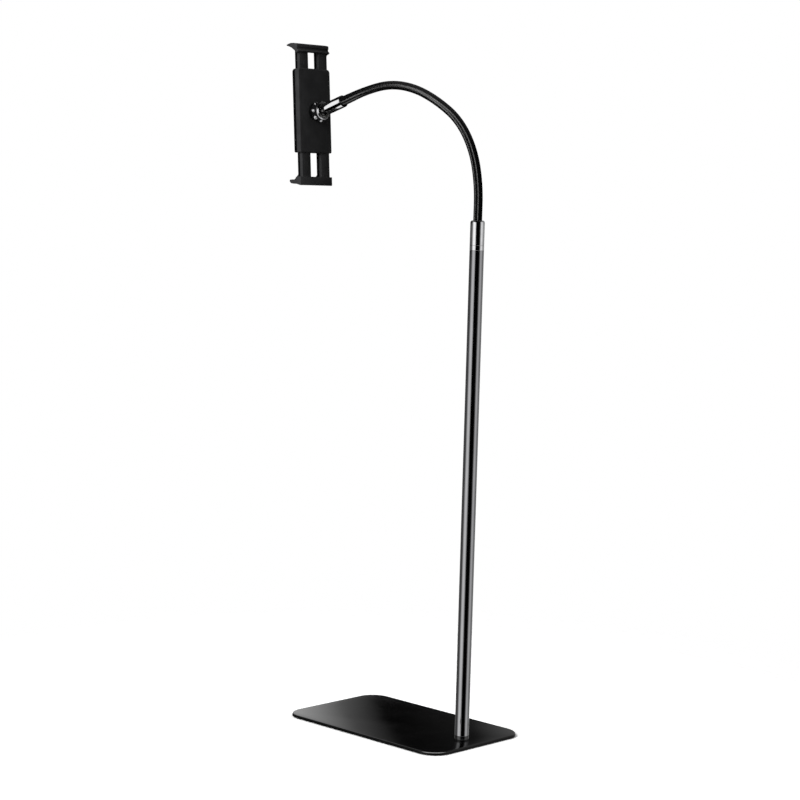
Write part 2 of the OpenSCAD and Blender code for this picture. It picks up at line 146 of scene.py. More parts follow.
def close_mesh(piece: Object) -> None:
    """Weld the doubles of a piece, and turn its faces outwards."""
    edit(piece)
    bpy.ops.mesh.remove_doubles(threshold=WELD)
    bpy.ops.mesh.normals_make_consistent(inside=False)
    leave_edit()


def just_added(name: str) -> Object:
    """Name the object that was added last, and return it."""
    piece = bpy.context.object
    piece.name = name
    return piece


def draw_line(name: str, points: Sequence[Vector]) -> Object:
    """Draw a chain of edges, vertex by vertex, and leave it selected in edit mode.

    Args:
        name: Name of the new piece.
        points: Corners of the chain.

    Returns:
        The new object.
    """
    leave_edit()
    bpy.ops.mesh.primitive_plane_add(size=MM)
    piece = just_added(name)
    edit(piece)
    bpy.ops.mesh.merge(type="CENTER")
    bpy.ops.transform.translate(value=points[0])
    for here, there in pairwise(points):
        bpy.ops.mesh.extrude_vertices_move(TRANSFORM_OT_translate={"value": there - here})
    bpy.ops.mesh.select_all(action="SELECT")
    return piece


def turned(name: str, outline: Outline, steps: int = 96) -> Object:
    """Turn an outline about the Z axis into a closed solid.

    Args:
        name: Name of the new piece.
        outline: Radius and height of each corner; it starts and ends on the axis, or closes on itself.
        steps: Steps of the full turn.

    Returns:
        The new object.
    """
    piece = draw_line(name, [Vector((r, 0, z)) for r, z in outline])
    bpy.ops.mesh.spin(steps=steps, angle=math.tau, center=(0, 0, 0), axis=UP)
    close_mesh(piece)
    return piece


def ring_outline(outline: Outline) -> Outline:
    """Close an outline that doesn't reach the axis."""
    return outline + outline[:1]


def extruded(name: str, corners: Sequence[Vector], along: Vector) -> Object:
    """Fill a flat outline and extrude it into a closed solid.

    Args:
        name: Name of the new piece.
        corners: Corners of the outline, in order.
        along: Direction and length of the extrusion.

    Returns:
        The new object.
    """
    piece = draw_line(name, corners)
    bpy.ops.mesh.edge_face_add()
    bpy.ops.mesh.extrude_region_move(TRANSFORM_OT_translate={"value": along})
    close_mesh(piece)
    return piece


def block(name: str, low: Vector, high: Vector) -> Object:
    """Make a box between two corners."""
    leave_edit()
    bpy.ops.mesh.primitive_cube_add(size=1, location=(low + high) / 2, scale=high - low)
    bpy.ops.object.transform_apply(location=True, rotation=True, scale=True)
    return just_added(name)


def round_edges(piece: Object, radius: float, segments: int, test: EdgeTest) -> None:
    """Round the edges that pass a test.

    Args:
        piece: Piece to shape.
        radius: Radius of the rounding.
        segments: Facets across the rounding.
        test: Says of an edge's two ends whether it is rounded.
    """
    edit(piece, "EDGE", "DESELECT")
    bpy.ops.object.mode_set(mode="OBJECT")
    places = [v.co for v in piece.data.vertices]
    for edge in piece.data.edges:
        edge.select = test(places[edge.vertices[0]], places[edge.vertices[1]])
    bpy.ops.object.mode_set(mode="EDIT")
    bpy.ops.mesh.bevel(offset=radius, segments=segments, profile=0.5, affect="EDGES")
    leave_edit()


def modify(piece: Object, kind: str, **settings: object) -> None:
    """Apply a modifier of a kind, with its settings, to a piece."""
    take(piece)
    modifier = piece.modifiers.new(kind, kind)
    for name, value in settings.items():
        setattr(modifier, name, value)
    bpy.ops.object.modifier_apply(modifier=modifier.name)
    leave_edit()


def ease_edges(piece: Object, radius: float, segments: int, angle: float) -> None:
    """Break every sharp edge of a piece with a small rounding.

    Args:
        piece: Piece to shape.
        radius: Radius of the rounding.
        segments: Facets across the rounding.
        angle: Least angle between two faces, in degrees, of an edge that is broken.
    """
    limit = math.radians(angle)
    modify(piece, "BEVEL", width=radius, segments=segments, limit_method="ANGLE", angle_limit=limit)


def combine(piece: Object, tools: Iterable[Object], how: str) -> None:
    """Join other solids to a piece or cut them out of it, and delete them.

    Args:
        piece: Piece to shape.
        tools: Solids that are used up.
        how: UNION or DIFFERENCE.
    """
    for tool in tools:
        modify(piece, "BOOLEAN", object=tool, operation=how, solver="EXACT")
        bpy.data.objects.remove(tool)


def repeated(tool: Object, count: int, step: Vector) -> Object:
    """Repeat a solid in a row."""
    modify(tool, "ARRAY", count=count, use_relative_offset=False, use_constant_offset=True,
           constant_offset_displace=step)
    return tool


def placed(piece: Object, place: Matrix) -> Object:
    """Move a finished piece to its place, and leave its object at the origin."""
    take(piece)
    piece.matrix_world = place
    bpy.ops.object.transform_apply(location=True, rotation=True, scale=True)
    leave_edit()
    return piece


def smoothed(piece: Object) -> None:
    """Shade a piece smooth, with its sharp edges kept."""
    take(piece)
    bpy.ops.object.shade_smooth_by_angle(angle=SMOOTH_ANGLE)
    leave_edit()


def axes(x: Vector, y: Vector, z: Vector, origin: Vector) -> Matrix:
    """Matrix from three axes about an origin to the part's own axes."""
    made = Matrix((x, y, z)).transposed().to_4x4()
    made.translation = origin
    return made


def radius_of(node: str) -> float:
    """Radius of an upright round node of the frame."""
    low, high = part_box(node)
    return (high.x - low.x) / 2


def axis_of(node: str) -> Matrix:
    """Matrix that moves a turned piece from the origin to an upright round node's axis."""
    low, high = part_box(node)
    return Matrix.Translation(((low.x + high.x) / 2, (low.y + high.y) / 2, 0))


# Shader nodes

def feed(node: Node, inputs: Inputs) -> None:
    """Fill a node's inputs, each with a plain value, an output, or a node for its first output."""
    for name, value in inputs.items():
        if isinstance(value, bpy.types.Node):
            value = value.outputs[0]
        if isinstance(value, bpy.types.NodeSocket):
            node.id_data.links.new(value, node.inputs[name])
        else:
            node.inputs[name].default_value = value


def add_node(tree: Tree, kind: str, inputs: Inputs | None = None, **settings: object) -> Node:
    """Add a shader node.

    Args:
        tree: Node tree that it goes into.
        kind: Kind of the node.
        inputs: What its inputs are filled with.
        settings: Its other settings.

    Returns:
        The node.
    """
    node = tree.nodes.new(f"ShaderNode{kind}")
    for name, value in settings.items():
        setattr(node, name, value)
    feed(node, inputs or {})
    return node


def add_range(tree: Tree, value: object, old: tuple[float, float], new: tuple[float, float] = (0, 1),
              **settings: object) -> Node:
    """Add a node that turns the old range of a value into a new one."""
    ends = {"From Min": old[0], "From Max": old[1], "To Min": new[0], "To Max": new[1]}
    return add_node(tree, "MapRange", {"Value": value, **ends}, **settings)


def new_material(name: str) -> tuple[bpy.types.Material, Tree]:
    """Make a material and return it with its nodes."""
    made = bpy.data.materials.new(name)
    made.use_nodes = True
    return made, made.node_tree


# Finishes

class Grain(Enum):
    """Fine structure of a surface."""

    PAINT = "orange peel of a sprayed coat"
    DRAWN = "streaks along a drawn tube"
    MOULDED = "spark-eroded texture of a mould"
    RUBBER = "matte skin of rubber"
    SHEATH = "smooth satin skin of the arm"
    POLISHED = "polished, with faint wipe marks"


@dataclass(frozen=True)
class GrainSizes:
    """How fine and how strong a grain is.

    Attributes:
        scale: Cells to a metre, along X, Y and Z.
        height: Depth of the bump.
        strength: Strength of the bump.
        spread: How far the roughness varies up and down.
        tint: How far the colour varies, as a share.
        patches: Cells to a metre of the broad patches.
    """

    scale: tuple[float, float, float]
    height: float
    strength: float
    spread: float
    tint: float
    patches: float


# Detail of the fine and the broad noise, the noise values that patches lie between, and the least roughness
FINE_DETAIL = 3.0
BROAD_DETAIL = 4.0
PATCH_RANGE = (0.3, 0.7)
LEAST_ROUGHNESS = 0.02

GRAINS: dict[Grain, GrainSizes] = {
    Grain.PAINT: GrainSizes((900, 900, 900), 0.02 * MM, 0.10, 0.035, 0.10, 22),
    Grain.DRAWN: GrainSizes((2600, 2600, 9), 0.004 * MM, 0.03, 0.03, 0.06, 18),
    Grain.MOULDED: GrainSizes((2400, 2400, 2400), 0.03 * MM, 0.30, 0.06, 0.16, 60),
    Grain.RUBBER: GrainSizes((1700, 1700, 1700), 0.04 * MM, 0.40, 0.06, 0.18, 80),
    Grain.SHEATH: GrainSizes((1500, 1500, 1500), 0.01 * MM, 0.15, 0.04, 0.10, 40),
    Grain.POLISHED: GrainSizes((500, 500, 500), 0.004 * MM, 0.06, 0.03, 0.08, 90),
}


@dataclass(frozen=True)
class Finish:
    """A surface finish, made of shader nodes.

    Attributes:
        name: Name of the material.
        slot: Material slot of the part's record.
        colour: Base colour.
        roughness: Mean roughness.
        grain: Fine structure of the surface.
        metallic: 1 on bare metal.
        specular: Specular level of a paint or plastic.
    """

    name: str
    slot: str
    colour: tuple[float, float, float]
    roughness: float
    grain: Grain
    metallic: float = 0.0
    specular: float = 0.5

    def material(self) -> bpy.types.Material:
        """Return the material, which is made on first use."""
        return bpy.data.materials.get(self.name) or self._make()

    def _make(self) -> bpy.types.Material:
        """Build the shader nodes: colour, roughness and bump from the grain and from broad patches."""
        made, tree = new_material(self.name)
        sizes = GRAINS[self.grain]
        fine = self._noise(tree, sizes.scale, FINE_DETAIL)
        broad = self._noise(tree, (sizes.patches,) * 3, BROAD_DETAIL)
        rough = (max(self.roughness - sizes.spread, LEAST_ROUGHNESS), self.roughness + sizes.spread)
        bump = {"Strength": sizes.strength, "Distance": sizes.height, "Height": fine}
        feed(tree.nodes["Principled BSDF"], {
            "Metallic": self.metallic,
            "Specular IOR Level": self.specular,
            "Base Color": self._ramp(tree, broad, sizes.tint),
            "Roughness": add_range(tree, broad, PATCH_RANGE, rough),
            "Normal": add_node(tree, "Bump", bump),
        })
        return made

    @staticmethod
    def _noise(tree: Tree, scale: tuple[float, float, float], detail: float) -> Node:
        """Add a noise on object coordinates."""
        where = add_node(tree, "TexCoord").outputs["Object"]
        mapping = add_node(tree, "Mapping", {"Vector": where, "Scale": scale})
        return add_node(tree, "TexNoise", {"Vector": mapping, "Scale": 1.0, "Detail": detail})

    def _ramp(self, tree: Tree, value: Node, tint: float) -> Node:
        """Add a ramp between a darker and a lighter tone of the colour."""
        ramp = add_node(tree, "ValToRGB", {"Fac": value})
        for end, place, tone in zip(ramp.color_ramp.elements, PATCH_RANGE, (1 - tint, 1 + tint)):
            end.position = place
            end.color = (*(c * tone for c in self.colour), 1)
        return ramp

    def dress(self, piece: Object) -> None:
        """Give a piece this finish alone."""
        piece.data.materials.clear()
        piece.data.materials.append(self.material())


PLATE_BLACK = (0.001, 0.001, 0.0011)
PLATE_PAINT = Finish("plate_black_paint", "base_plate", PLATE_BLACK, 0.14, Grain.PAINT, specular=0.4)
PLATE_RIM = Finish("plate_rim_paint", "base_plate", PLATE_BLACK, 0.35, Grain.PAINT, specular=0.12)
FOOT_RUBBER = Finish("foot_rubber", "foot_rubber", (0.012, 0.012, 0.012), 0.75, Grain.RUBBER, specular=0.3)
DARK_NICKEL = Finish("pole_dark_nickel", "pole_metal", (0.37, 0.37, 0.38), 0.12, Grain.DRAWN, metallic=1.0)
BRIGHT_NICKEL = Finish("collar_bright_nickel", "bright_metal", (0.76, 0.76, 0.77), 0.10, Grain.POLISHED,
                       metallic=1.0)
PLAIN_STEEL = Finish("screw_steel", "core_steel", (0.52, 0.52, 0.53), 0.32, Grain.POLISHED, metallic=1.0)
ARM_SHEATH = Finish("arm_black_sheath", "sleeve", (0.002, 0.002, 0.0021), 0.22, Grain.SHEATH, specular=1.0)
HOLDER_BLACK = Finish("holder_moulded_black", "holder_plastic", (0.036, 0.036, 0.037), 0.5, Grain.MOULDED,
                      specular=0.2)
# Darker copy of the holder's plastic: painted shade on the front shell and on the sides of the rails' front
# half.
FRONT_SHADE_BLACK = Finish("holder_front_black", "holder_plastic", (0.003, 0.003, 0.0032), 0.40, Grain.MOULDED,
                     specular=0.15)
GLOSS_BLACK = Finish("nut_gloss_black", "gloss_black", (0.003, 0.003, 0.0033), 0.18, Grain.POLISHED,
                     specular=0.8)
NUT_CHROME = Finish("nut_black_chrome", "gloss_black", (0.5, 0.5, 0.51), 0.14, Grain.POLISHED, metallic=1.0)
WHITE_LINER = Finish("ball_liner", "liner", (0.55, 0.55, 0.52), 0.5, Grain.MOULDED)
PAD_RUBBER = Finish("pad_grey_rubber", "pad", (0.022, 0.022, 0.023), 0.7, Grain.RUBBER, specular=0.3)


def finish_piece(piece: Object, finish: Finish, body: str, node: str) -> None:
    """Smooth and dress a new piece, and hang it on the body that it moves with.

    Args:
        piece: The finished mesh, in its place.
        finish: Its surface finish.
        body: Body of the frame that carries it.
        node: Node of the frame that it stands for.
    """
    smoothed(piece)
    finish.dress(piece)
    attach(piece, body)
    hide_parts(node)
    LOG.info("%s: %d faces, rides on %s", piece.name, len(piece.data.polygons), body)


def second_finish(piece: Object, finish: Finish, test: FaceTest) -> None:
    """Give the faces of a dressed piece that pass a test another finish."""
    piece.data.materials.append(finish.material())
    for face in piece.data.polygons:
        if test(face):
            face.material_index = 1


# The stand's sub-assemblies

@dataclass
class Base:
    """The heavy plate and its rubber feet.

    Attributes:
        corner: Radius of the plate's corners.
        top_edge: Rounding of the top rim.
        low_edge: Rounding of the bottom rim.
        rim_slope: Greatest upright part of the normal of a face of the rim.
        bolt: Radius of the bolt that holds the pole.
        sink: Depth of the bolt's countersink.
        foot_edge: Rounding of a foot's rim.
        dish: Depth of the hollow under a foot.
    """

    corner: float = 30 * MM
    top_edge: float = 2 * MM
    low_edge: float = 0.4 * MM
    rim_slope: float = 0.25
    bolt: float = 4 * MM
    sink: float = 3.4 * MM
    foot_edge: float = 0.35 * MM
    dish: float = 0.25 * MM
    feet: tuple[str, ...] = ("left_front", "left_back", "right_front", "right_back", "middle")

    def build(self) -> None:
        """Build the plate and the feet."""
        self._plate()
        for place in self.feet:
            self._foot(f"foot_{place}")

    def _plate(self) -> None:
        """Round a block's corners and rims, and cut the bolt's countersink."""
        low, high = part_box("base_plate")
        plate = block("plate", low, high)
        round_edges(plate, self.corner, 20, lambda a, b: abs(a.z - b.z) > MM)
        round_edges(plate, self.top_edge, 5, lambda a, b: min(a.z, b.z) > high.z - WELD)
        round_edges(plate, self.low_edge, 2, lambda a, b: max(a.z, b.z) < low.z + WELD)
        past = MM
        under, over = low.z - past, high.z + past
        cutter = [(0, under), (self.bolt + self.sink + past, under), (self.bolt, low.z + self.sink),
                  (self.bolt, over), (0, over)]
        sink = placed(turned("sink", cutter, 48), axis_of("pole_tube"))
        combine(plate, [sink], "DIFFERENCE")
        finish_piece(plate, PLATE_PAINT, "stand", "base_plate")
        second_finish(plate, PLATE_RIM, lambda face: abs(face.normal.z) < self.rim_slope)
        plate.visible_glossy = False

    def _foot(self, node: str) -> None:
        """Turn a low foot with a rounded rim and a shallow dish underneath."""
        low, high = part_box(node)
        radius, edge, flat = radius_of(node), self.foot_edge, low.z + self.dish
        outline = [(0, flat), (radius - 3 * MM, flat), (radius - 2.6 * MM, low.z)]
        outline += arc((radius - edge, low.z + edge), edge, -90, 0, 4)
        outline += [(radius, high.z), (0, high.z)]
        foot = placed(turned(f"rubber_{node}", outline, 48), axis_of(node))
        finish_piece(foot, FOOT_RUBBER, "stand", node)


@dataclass
class Pole:
    """The tube, the washer under it, and the ring and the collar on top of it.

    Attributes:
        shoulder: Width and height of the collar's rounded top.
        collar_gap: Gap between the ring and the collar, which turns on it.
        stud: Radius of the stud that the ring and the collar sit on.
        arm: Radius of the arm's sleeve.
        seat: Depth of the collar's seat for the sleeve.
    """

    wall: float = 1.2 * MM
    tube_edge: float = 0.45 * MM
    ring_edge: float = 0.25 * MM
    shoulder: tuple[float, float] = (2.6 * MM, 3.4 * MM)
    collar_edge: float = 0.25 * MM
    collar_gap: float = 0.1 * MM
    stud: float = 5 * MM
    arm: float = 6.15 * MM
    seat: float = 8 * MM

    def build(self) -> None:
        """Build the pole's pieces from the floor up."""
        bore = radius_of("pole_tube") - self.wall
        for name, node, finish, inner, edge, steps in (
            ("pole_foot_ring", "pole_washer", GLOSS_BLACK, self.stud, self.tube_edge, 4),
            ("pole", "pole_tube", DARK_NICKEL, bore, self.tube_edge, 4),
            ("pole_ring", "pole_top_ring", BRIGHT_NICKEL, self.stud, self.ring_edge, 5),
        ):
            ring = turned(name, self._ring(node, inner, edge, steps))
            finish_piece(placed(ring, axis_of(node)), finish, "stand", node)
        collar = turned("arm_collar", self._collar("neck_collar"))
        finish_piece(placed(collar, axis_of("neck_collar")), BRIGHT_NICKEL, "neck_0", "neck_collar")

    @staticmethod
    def _ring(node: str, inner: float, edge: float, steps: int) -> Outline:
        """Outline of a tube or ring whose outer rims are rounded.

        Args:
            node: Node of the frame that gives its radius and heights.
            inner: Radius of its bore.
            edge: Radius of the rounding.
            steps: Facets across the rounding.

        Returns:
            The closed outline.
        """
        low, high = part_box(node)
        middle = radius_of(node) - edge
        outline = [(inner, low.z)] + arc((middle, low.z + edge), edge, -90, 0, steps)
        outline += arc((middle, high.z - edge), edge, 0, 90, steps) + [(inner, high.z)]
        return ring_outline(outline)

    def _collar(self, node: str) -> Outline:
        """Outline of the collar: stud, rounded lower rim, rounded shoulder, and the seat for the sleeve."""
        low, high = (corner.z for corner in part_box(node))
        radius, bevel, mouth, edge = radius_of(node), 0.4 * MM, 0.35 * MM, self.collar_edge
        wide, tall = self.shoulder
        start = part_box("pole_top_ring")[1].z + self.collar_gap
        outline = [(0, low), (self.stud - bevel, low), (self.stud, low + bevel), (self.stud, start)]
        outline += arc((radius - edge, start + edge), edge, -90, 0, 5)
        outline += [(radius - wide + wide * x, high - tall + tall * z) for x, z in arc((0, 0), 1, 0, 90, 10)]
        seat = self.arm + 0.15 * MM
        outline += arc((seat + mouth, high - mouth), mouth, 90, 180, 3)
        return outline + [(seat, high - self.seat), (0, high - self.seat)]


@dataclass
class ArmLine:
    """Centreline of the flexible arm, worked out from the joints between its sections.

    Attributes:
        joints: Places of the joints, from the collar to the ferrule.
        headings: Direction of the line at each joint, in radians from upright towards -X.
        pitch: Length of the line from one joint to the next.
    """

    joints: list[Vector]
    headings: list[float] = field(default_factory=list)
    pitch: float = 0.0

    def __post_init__(self) -> None:
        """Work out the headings of the arcs between the joints, and their length."""
        heading, lengths = 0.0, []
        self.headings = [heading]
        for here, there in pairwise(self.joints):
            chord = there - here
            half = math.atan2(-chord.x, chord.z) - heading
            lengths.append(chord.length * half / math.sin(half))
            heading += 2 * half
            self.headings.append(heading)
        self.pitch = sum(lengths) / len(lengths)

    @staticmethod
    def direction(heading: float) -> Vector:
        """Unit vector of a heading."""
        return Vector((-math.sin(heading), 0, math.cos(heading)))

    def at(self, length: float) -> tuple[Vector, float]:
        """Find a point of the line.

        Args:
            length: Length along the line from the collar's top.

        Returns:
            The point, and the heading there.
        """
        past = length - self.pitch / 2
        k = min(max(int(past // self.pitch), 0), len(self.joints) - 2)
        last = len(self.joints) - 1
        if past <= 0:
            return self.joints[0] + self.direction(0) * past, 0.0
        if past >= last * self.pitch:
            end = self.headings[last]
            return self.joints[last] + self.direction(end) * (past - last * self.pitch), end
        share = past / self.pitch - k
        turn = self.headings[k + 1] - self.headings[k]
        chord = self.pitch * share * math.sin(turn * share / 2) / (turn * share / 2) if share else 0.0
        middle = self.headings[k] + turn * share / 2
        return self.joints[k] + self.direction(middle) * chord, self.headings[k] + turn * share


@dataclass
class FlexibleArm:
    """The arm's smooth sleeve, in stretches that each bend across one joint, with its ferrule and ball.

    Attributes:
        radius: Radius of the sleeve.
        boot: How much thicker the sleeve is where it goes into the ferrule.
        boot_length: Length over which it thickens.
        sides: Facets round the sleeve.
        rings: Rings along a stretch.
        grip: Length at each end of a stretch; the points that it gives are not used.
        neck: Radius of the stud's neck.
        reach: Distance of the ball's centre from the ferrule's end.
    """

    line: ArmLine
    radius: float = Pole.arm
    boot: float = 0.75 * MM
    boot_length: float = 55 * MM
    sides: int = 40
    rings: int = 24
    grip: float = 1.5 * MM
    ferrule: float = 8.9 * MM
    ferrule_length: float = 35.1 * MM
    ball: float = 8.5 * MM
    neck: float = 3.5 * MM
    reach: float = 11.6 * MM

    def build(self) -> None:
        """Build the sleeve's stretches, the ferrule and the ball stud."""
        count = len(self.line.joints)
        for index in range(count):
            self._stretch(index)
        start, heading = self.line.at(count * self.line.pitch)
        along = ArmLine.direction(heading)
        place = axes(ACROSS.cross(along), ACROSS, along, start)
        ferrule = placed(turned("arm_ferrule", self._ferrule()), place)
        finish_piece(ferrule, BRIGHT_NICKEL, f"neck_{count}", "end_ferrule")
        stud = placed(turned("arm_ball", self._stud(), 72), place)
        finish_piece(stud, GLOSS_BLACK, f"neck_{count}", "ball_stud")

    def _stretch(self, index: int) -> None:
        """Sweep one stretch of sleeve, ring by ring, and bend it along the arm's line across its joint."""
        pitch = self.line.pitch
        leave_edit()
        bpy.ops.mesh.primitive_circle_add(vertices=self.sides, radius=self.radius, fill_type="NGON")
        stretch = just_added(f"arm_sleeve_{index + 1}")
        edit(stretch)
        for _step in range(self.rings):
            bpy.ops.mesh.extrude_region_move(TRANSFORM_OT_translate={"value": UP * pitch / self.rings})
        leave_edit()
        for vertex in stretch.data.vertices:
            vertex.co = self._bent(vertex.co, index * pitch)
        close_mesh(stretch)
        smoothed(stretch)
        ARM_SHEATH.dress(stretch)
        start, _ = self.line.at(index * pitch + self.grip)
        end, _ = self.line.at((index + 1) * pitch - self.grip)
        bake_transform(stretch)
        is_last = index == len(self.line.joints) - 1
        sections = (index, index + 1) if is_last else (index,)
        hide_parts(*(f"neck_{layer}_{k}" for k in sections for layer in ("sleeve", "core")))
        LOG.info("%s: %d faces, bends at joint %d", stretch.name, len(stretch.data.polygons), index + 1)

    def _bent(self, place: Vector, start: float) -> Vector:
        """Where a point of the straight stretch lies on the bent line."""
        centre, heading = self.line.at(start + place.z)
        along = ArmLine.direction(heading)
        left = len(self.line.joints) * self.line.pitch - start - place.z
        share = min(max(1 - left / self.boot_length, 0.0), 1.0)
        swell = 1 + self.boot / self.radius * share * share * (3 - 2 * share)
        return centre + (ACROSS.cross(along) * place.x + ACROSS * place.y) * swell

    def _ferrule(self) -> Outline:
        """Outline of the ferrule: open end for the sleeve, body, and a nose with the stud's hole."""
        edge, nose, bevel, end = 0.7 * MM, 2 * MM, 0.4 * MM, self.ferrule_length
        bore, hole = self.radius + self.boot + 0.12 * MM, self.neck + 0.1 * MM
        outline = [(bore, 6 * MM), (bore, bevel), (bore + bevel, 0)]
        outline += arc((self.ferrule - edge, edge), edge, -90, 0, 6) + [(self.ferrule, end - 2.2 * MM)]
        outline += arc((self.ferrule - nose, end - nose), nose, 5, 78, 6)
        outline += [(self.neck + bevel, end), (hole, end - bevel), (hole, end - 5 * MM)]
        return ring_outline(outline)

    def _stud(self) -> Outline:
        """Outline of the ball on its neck, from inside the ferrule to the ball's far side."""
        start, centre = self.ferrule_length - 4.5 * MM, self.ferrule_length + self.reach
        joint = math.degrees(math.asin((self.neck + 0.5 * MM) / self.ball))
        outline = [(0, start), (self.neck, start), (self.neck, centre - self.ball * 0.98)]
        return outline + arc((0, centre), self.ball, -90 + joint, 90, 24)


@dataclass
class HolderFrame:
    """Axes of the holder: out of its back, across it and up it.

    Attributes:
        ball: Centre of the ball joint.
        out: Direction out of the holder's back.
        up: Direction up the holder.
        offset: Distance of the ball from the holder's back.
        rise: How far the body's middle stands above the ball.
    """

    ball: Vector
    out: Vector
    up: Vector
    offset: float = 15 * MM
    rise: float = 1.5 * MM

    def socket(self) -> Matrix:
        """Matrix from the ball joint's axes, whose origin is on the holder's back, to the part's."""
        return axes(self.out, ACROSS, self.up, self.ball - self.out * self.offset)

    def place(self) -> Matrix:
        """Matrix from the holder's own axes, whose origin is the middle of its back, to the part's."""
        return self.socket() @ Matrix.Translation(UP * self.rise)


@dataclass
class LockNut:
    """The lobed nut that clamps the ball, with heights counted from the holder's back.

    Attributes:
        radius: Radius over the lobes.
        core: Radius between the lobes.
        lobe: Radius of a lobe.
        turn: Turn of the first lobe from straight down, in degrees.
        lobe_top: Height of the middle of a lobe's round end.
        low: Height of the nut's base.
        shoulder: Height of the start of the rounded front.
        high: Height of the front.
        mouth: Radius of the hole that the ball shows through.
        front: Height above which the nut is glossy black.
        soft: How softly a lobe runs into the core.
    """

    radius: float = 16.2 * MM
    core: float = 13.5 * MM
    lobe: float = 3.4 * MM
    lobes: int = 7
    turn: float = 8
    lobe_top: float = 9.1 * MM
    low: float = 6.4 * MM
    shoulder: float = 16.6 * MM
    high: float = 19.8 * MM
    bore: float = 12.5 * MM
    mouth: float = 9.2 * MM
    front: float = 19.2 * MM
    soft: float = 0.3 * MM
    sides: int = 192

    def levels(self) -> tuple[Outline, Outline]:
        """Radius and height of the nut's core: up its outside and over its front, then down its bore."""
        rim, wide, tall = 0.4 * MM, self.core - self.mouth - 0.8 * MM, self.high - self.shoulder
        outside = [(self.core - rim, self.low)]
        foot, rows = self.low + rim, 14
        outside += [(self.core, foot + (self.shoulder - foot) * k / rows) for k in range(rows + 1)]
        front = arc((0, 0), 1, 0, 90, 8)[1:]
        outside += [(self.core - wide + wide * x, self.shoulder + tall * z) for x, z in front]
        inside = [(self.mouth + 0.1 * MM, self.high - 0.2 * MM),
                  (self.mouth - 0.3 * MM, self.high - 1.2 * MM),
                  (self.bore - 1.4 * MM, self.shoulder + 0.6 * MM), (self.bore, self.shoulder - 0.4 * MM)]
        return outside, inside + [(self.bore, self.low)]

    def build(self, frame: HolderFrame) -> None:
        """Raise a circle ring by ring, push the lobes out, and close it round the bore."""
        outside, inside = self.levels()
        levels = outside + inside
        leave_edit()
        bpy.ops.mesh.primitive_circle_add(vertices=self.sides, radius=self.core, fill_type="NOTHING")
        nut = just_added("ball_lock_nut")
        edit(nut)
        for _level in levels:
            bpy.ops.mesh.extrude_edges_move(TRANSFORM_OT_translate={"value": UP})
        leave_edit()
        for vertex in nut.data.vertices:
            step = round(vertex.co.z) % len(levels)
            reach, height = levels[step]
            angle = math.atan2(vertex.co.y, vertex.co.x)
            if step < len(outside):
                reach = self._over_lobe(reach, angle, height)
            vertex.co = (reach * math.cos(angle), reach * math.sin(angle), height)
        close_mesh(nut)
        place = frame.socket() @ Matrix.Rotation(math.radians(90), 4, "Y")
        finish_piece(placed(nut, place), NUT_CHROME, "lock_nut", "lock_nut")
        to_nut = place.inverted()
        second_finish(nut, GLOSS_BLACK, lambda face: (to_nut @ face.center).z > self.front)

    def _over_lobe(self, core: float, angle: float, height: float) -> float:
        """Radius of the nut at an angle and a height, where a lobe may stand out of its core."""
        step = math.tau / self.lobes
        off = (angle - math.radians(self.turn) + step / 2) % step - step / 2
        above = max(height - self.lobe_top, 0.0)
        centre = self.radius - self.lobe
        inside = self.lobe ** 2 - above ** 2 - (centre * math.sin(off)) ** 2
        if inside <= 0:
            return core
        rise = centre * math.cos(off) + math.sqrt(inside) - core
        return core + (rise + math.hypot(rise, self.soft)) / 2


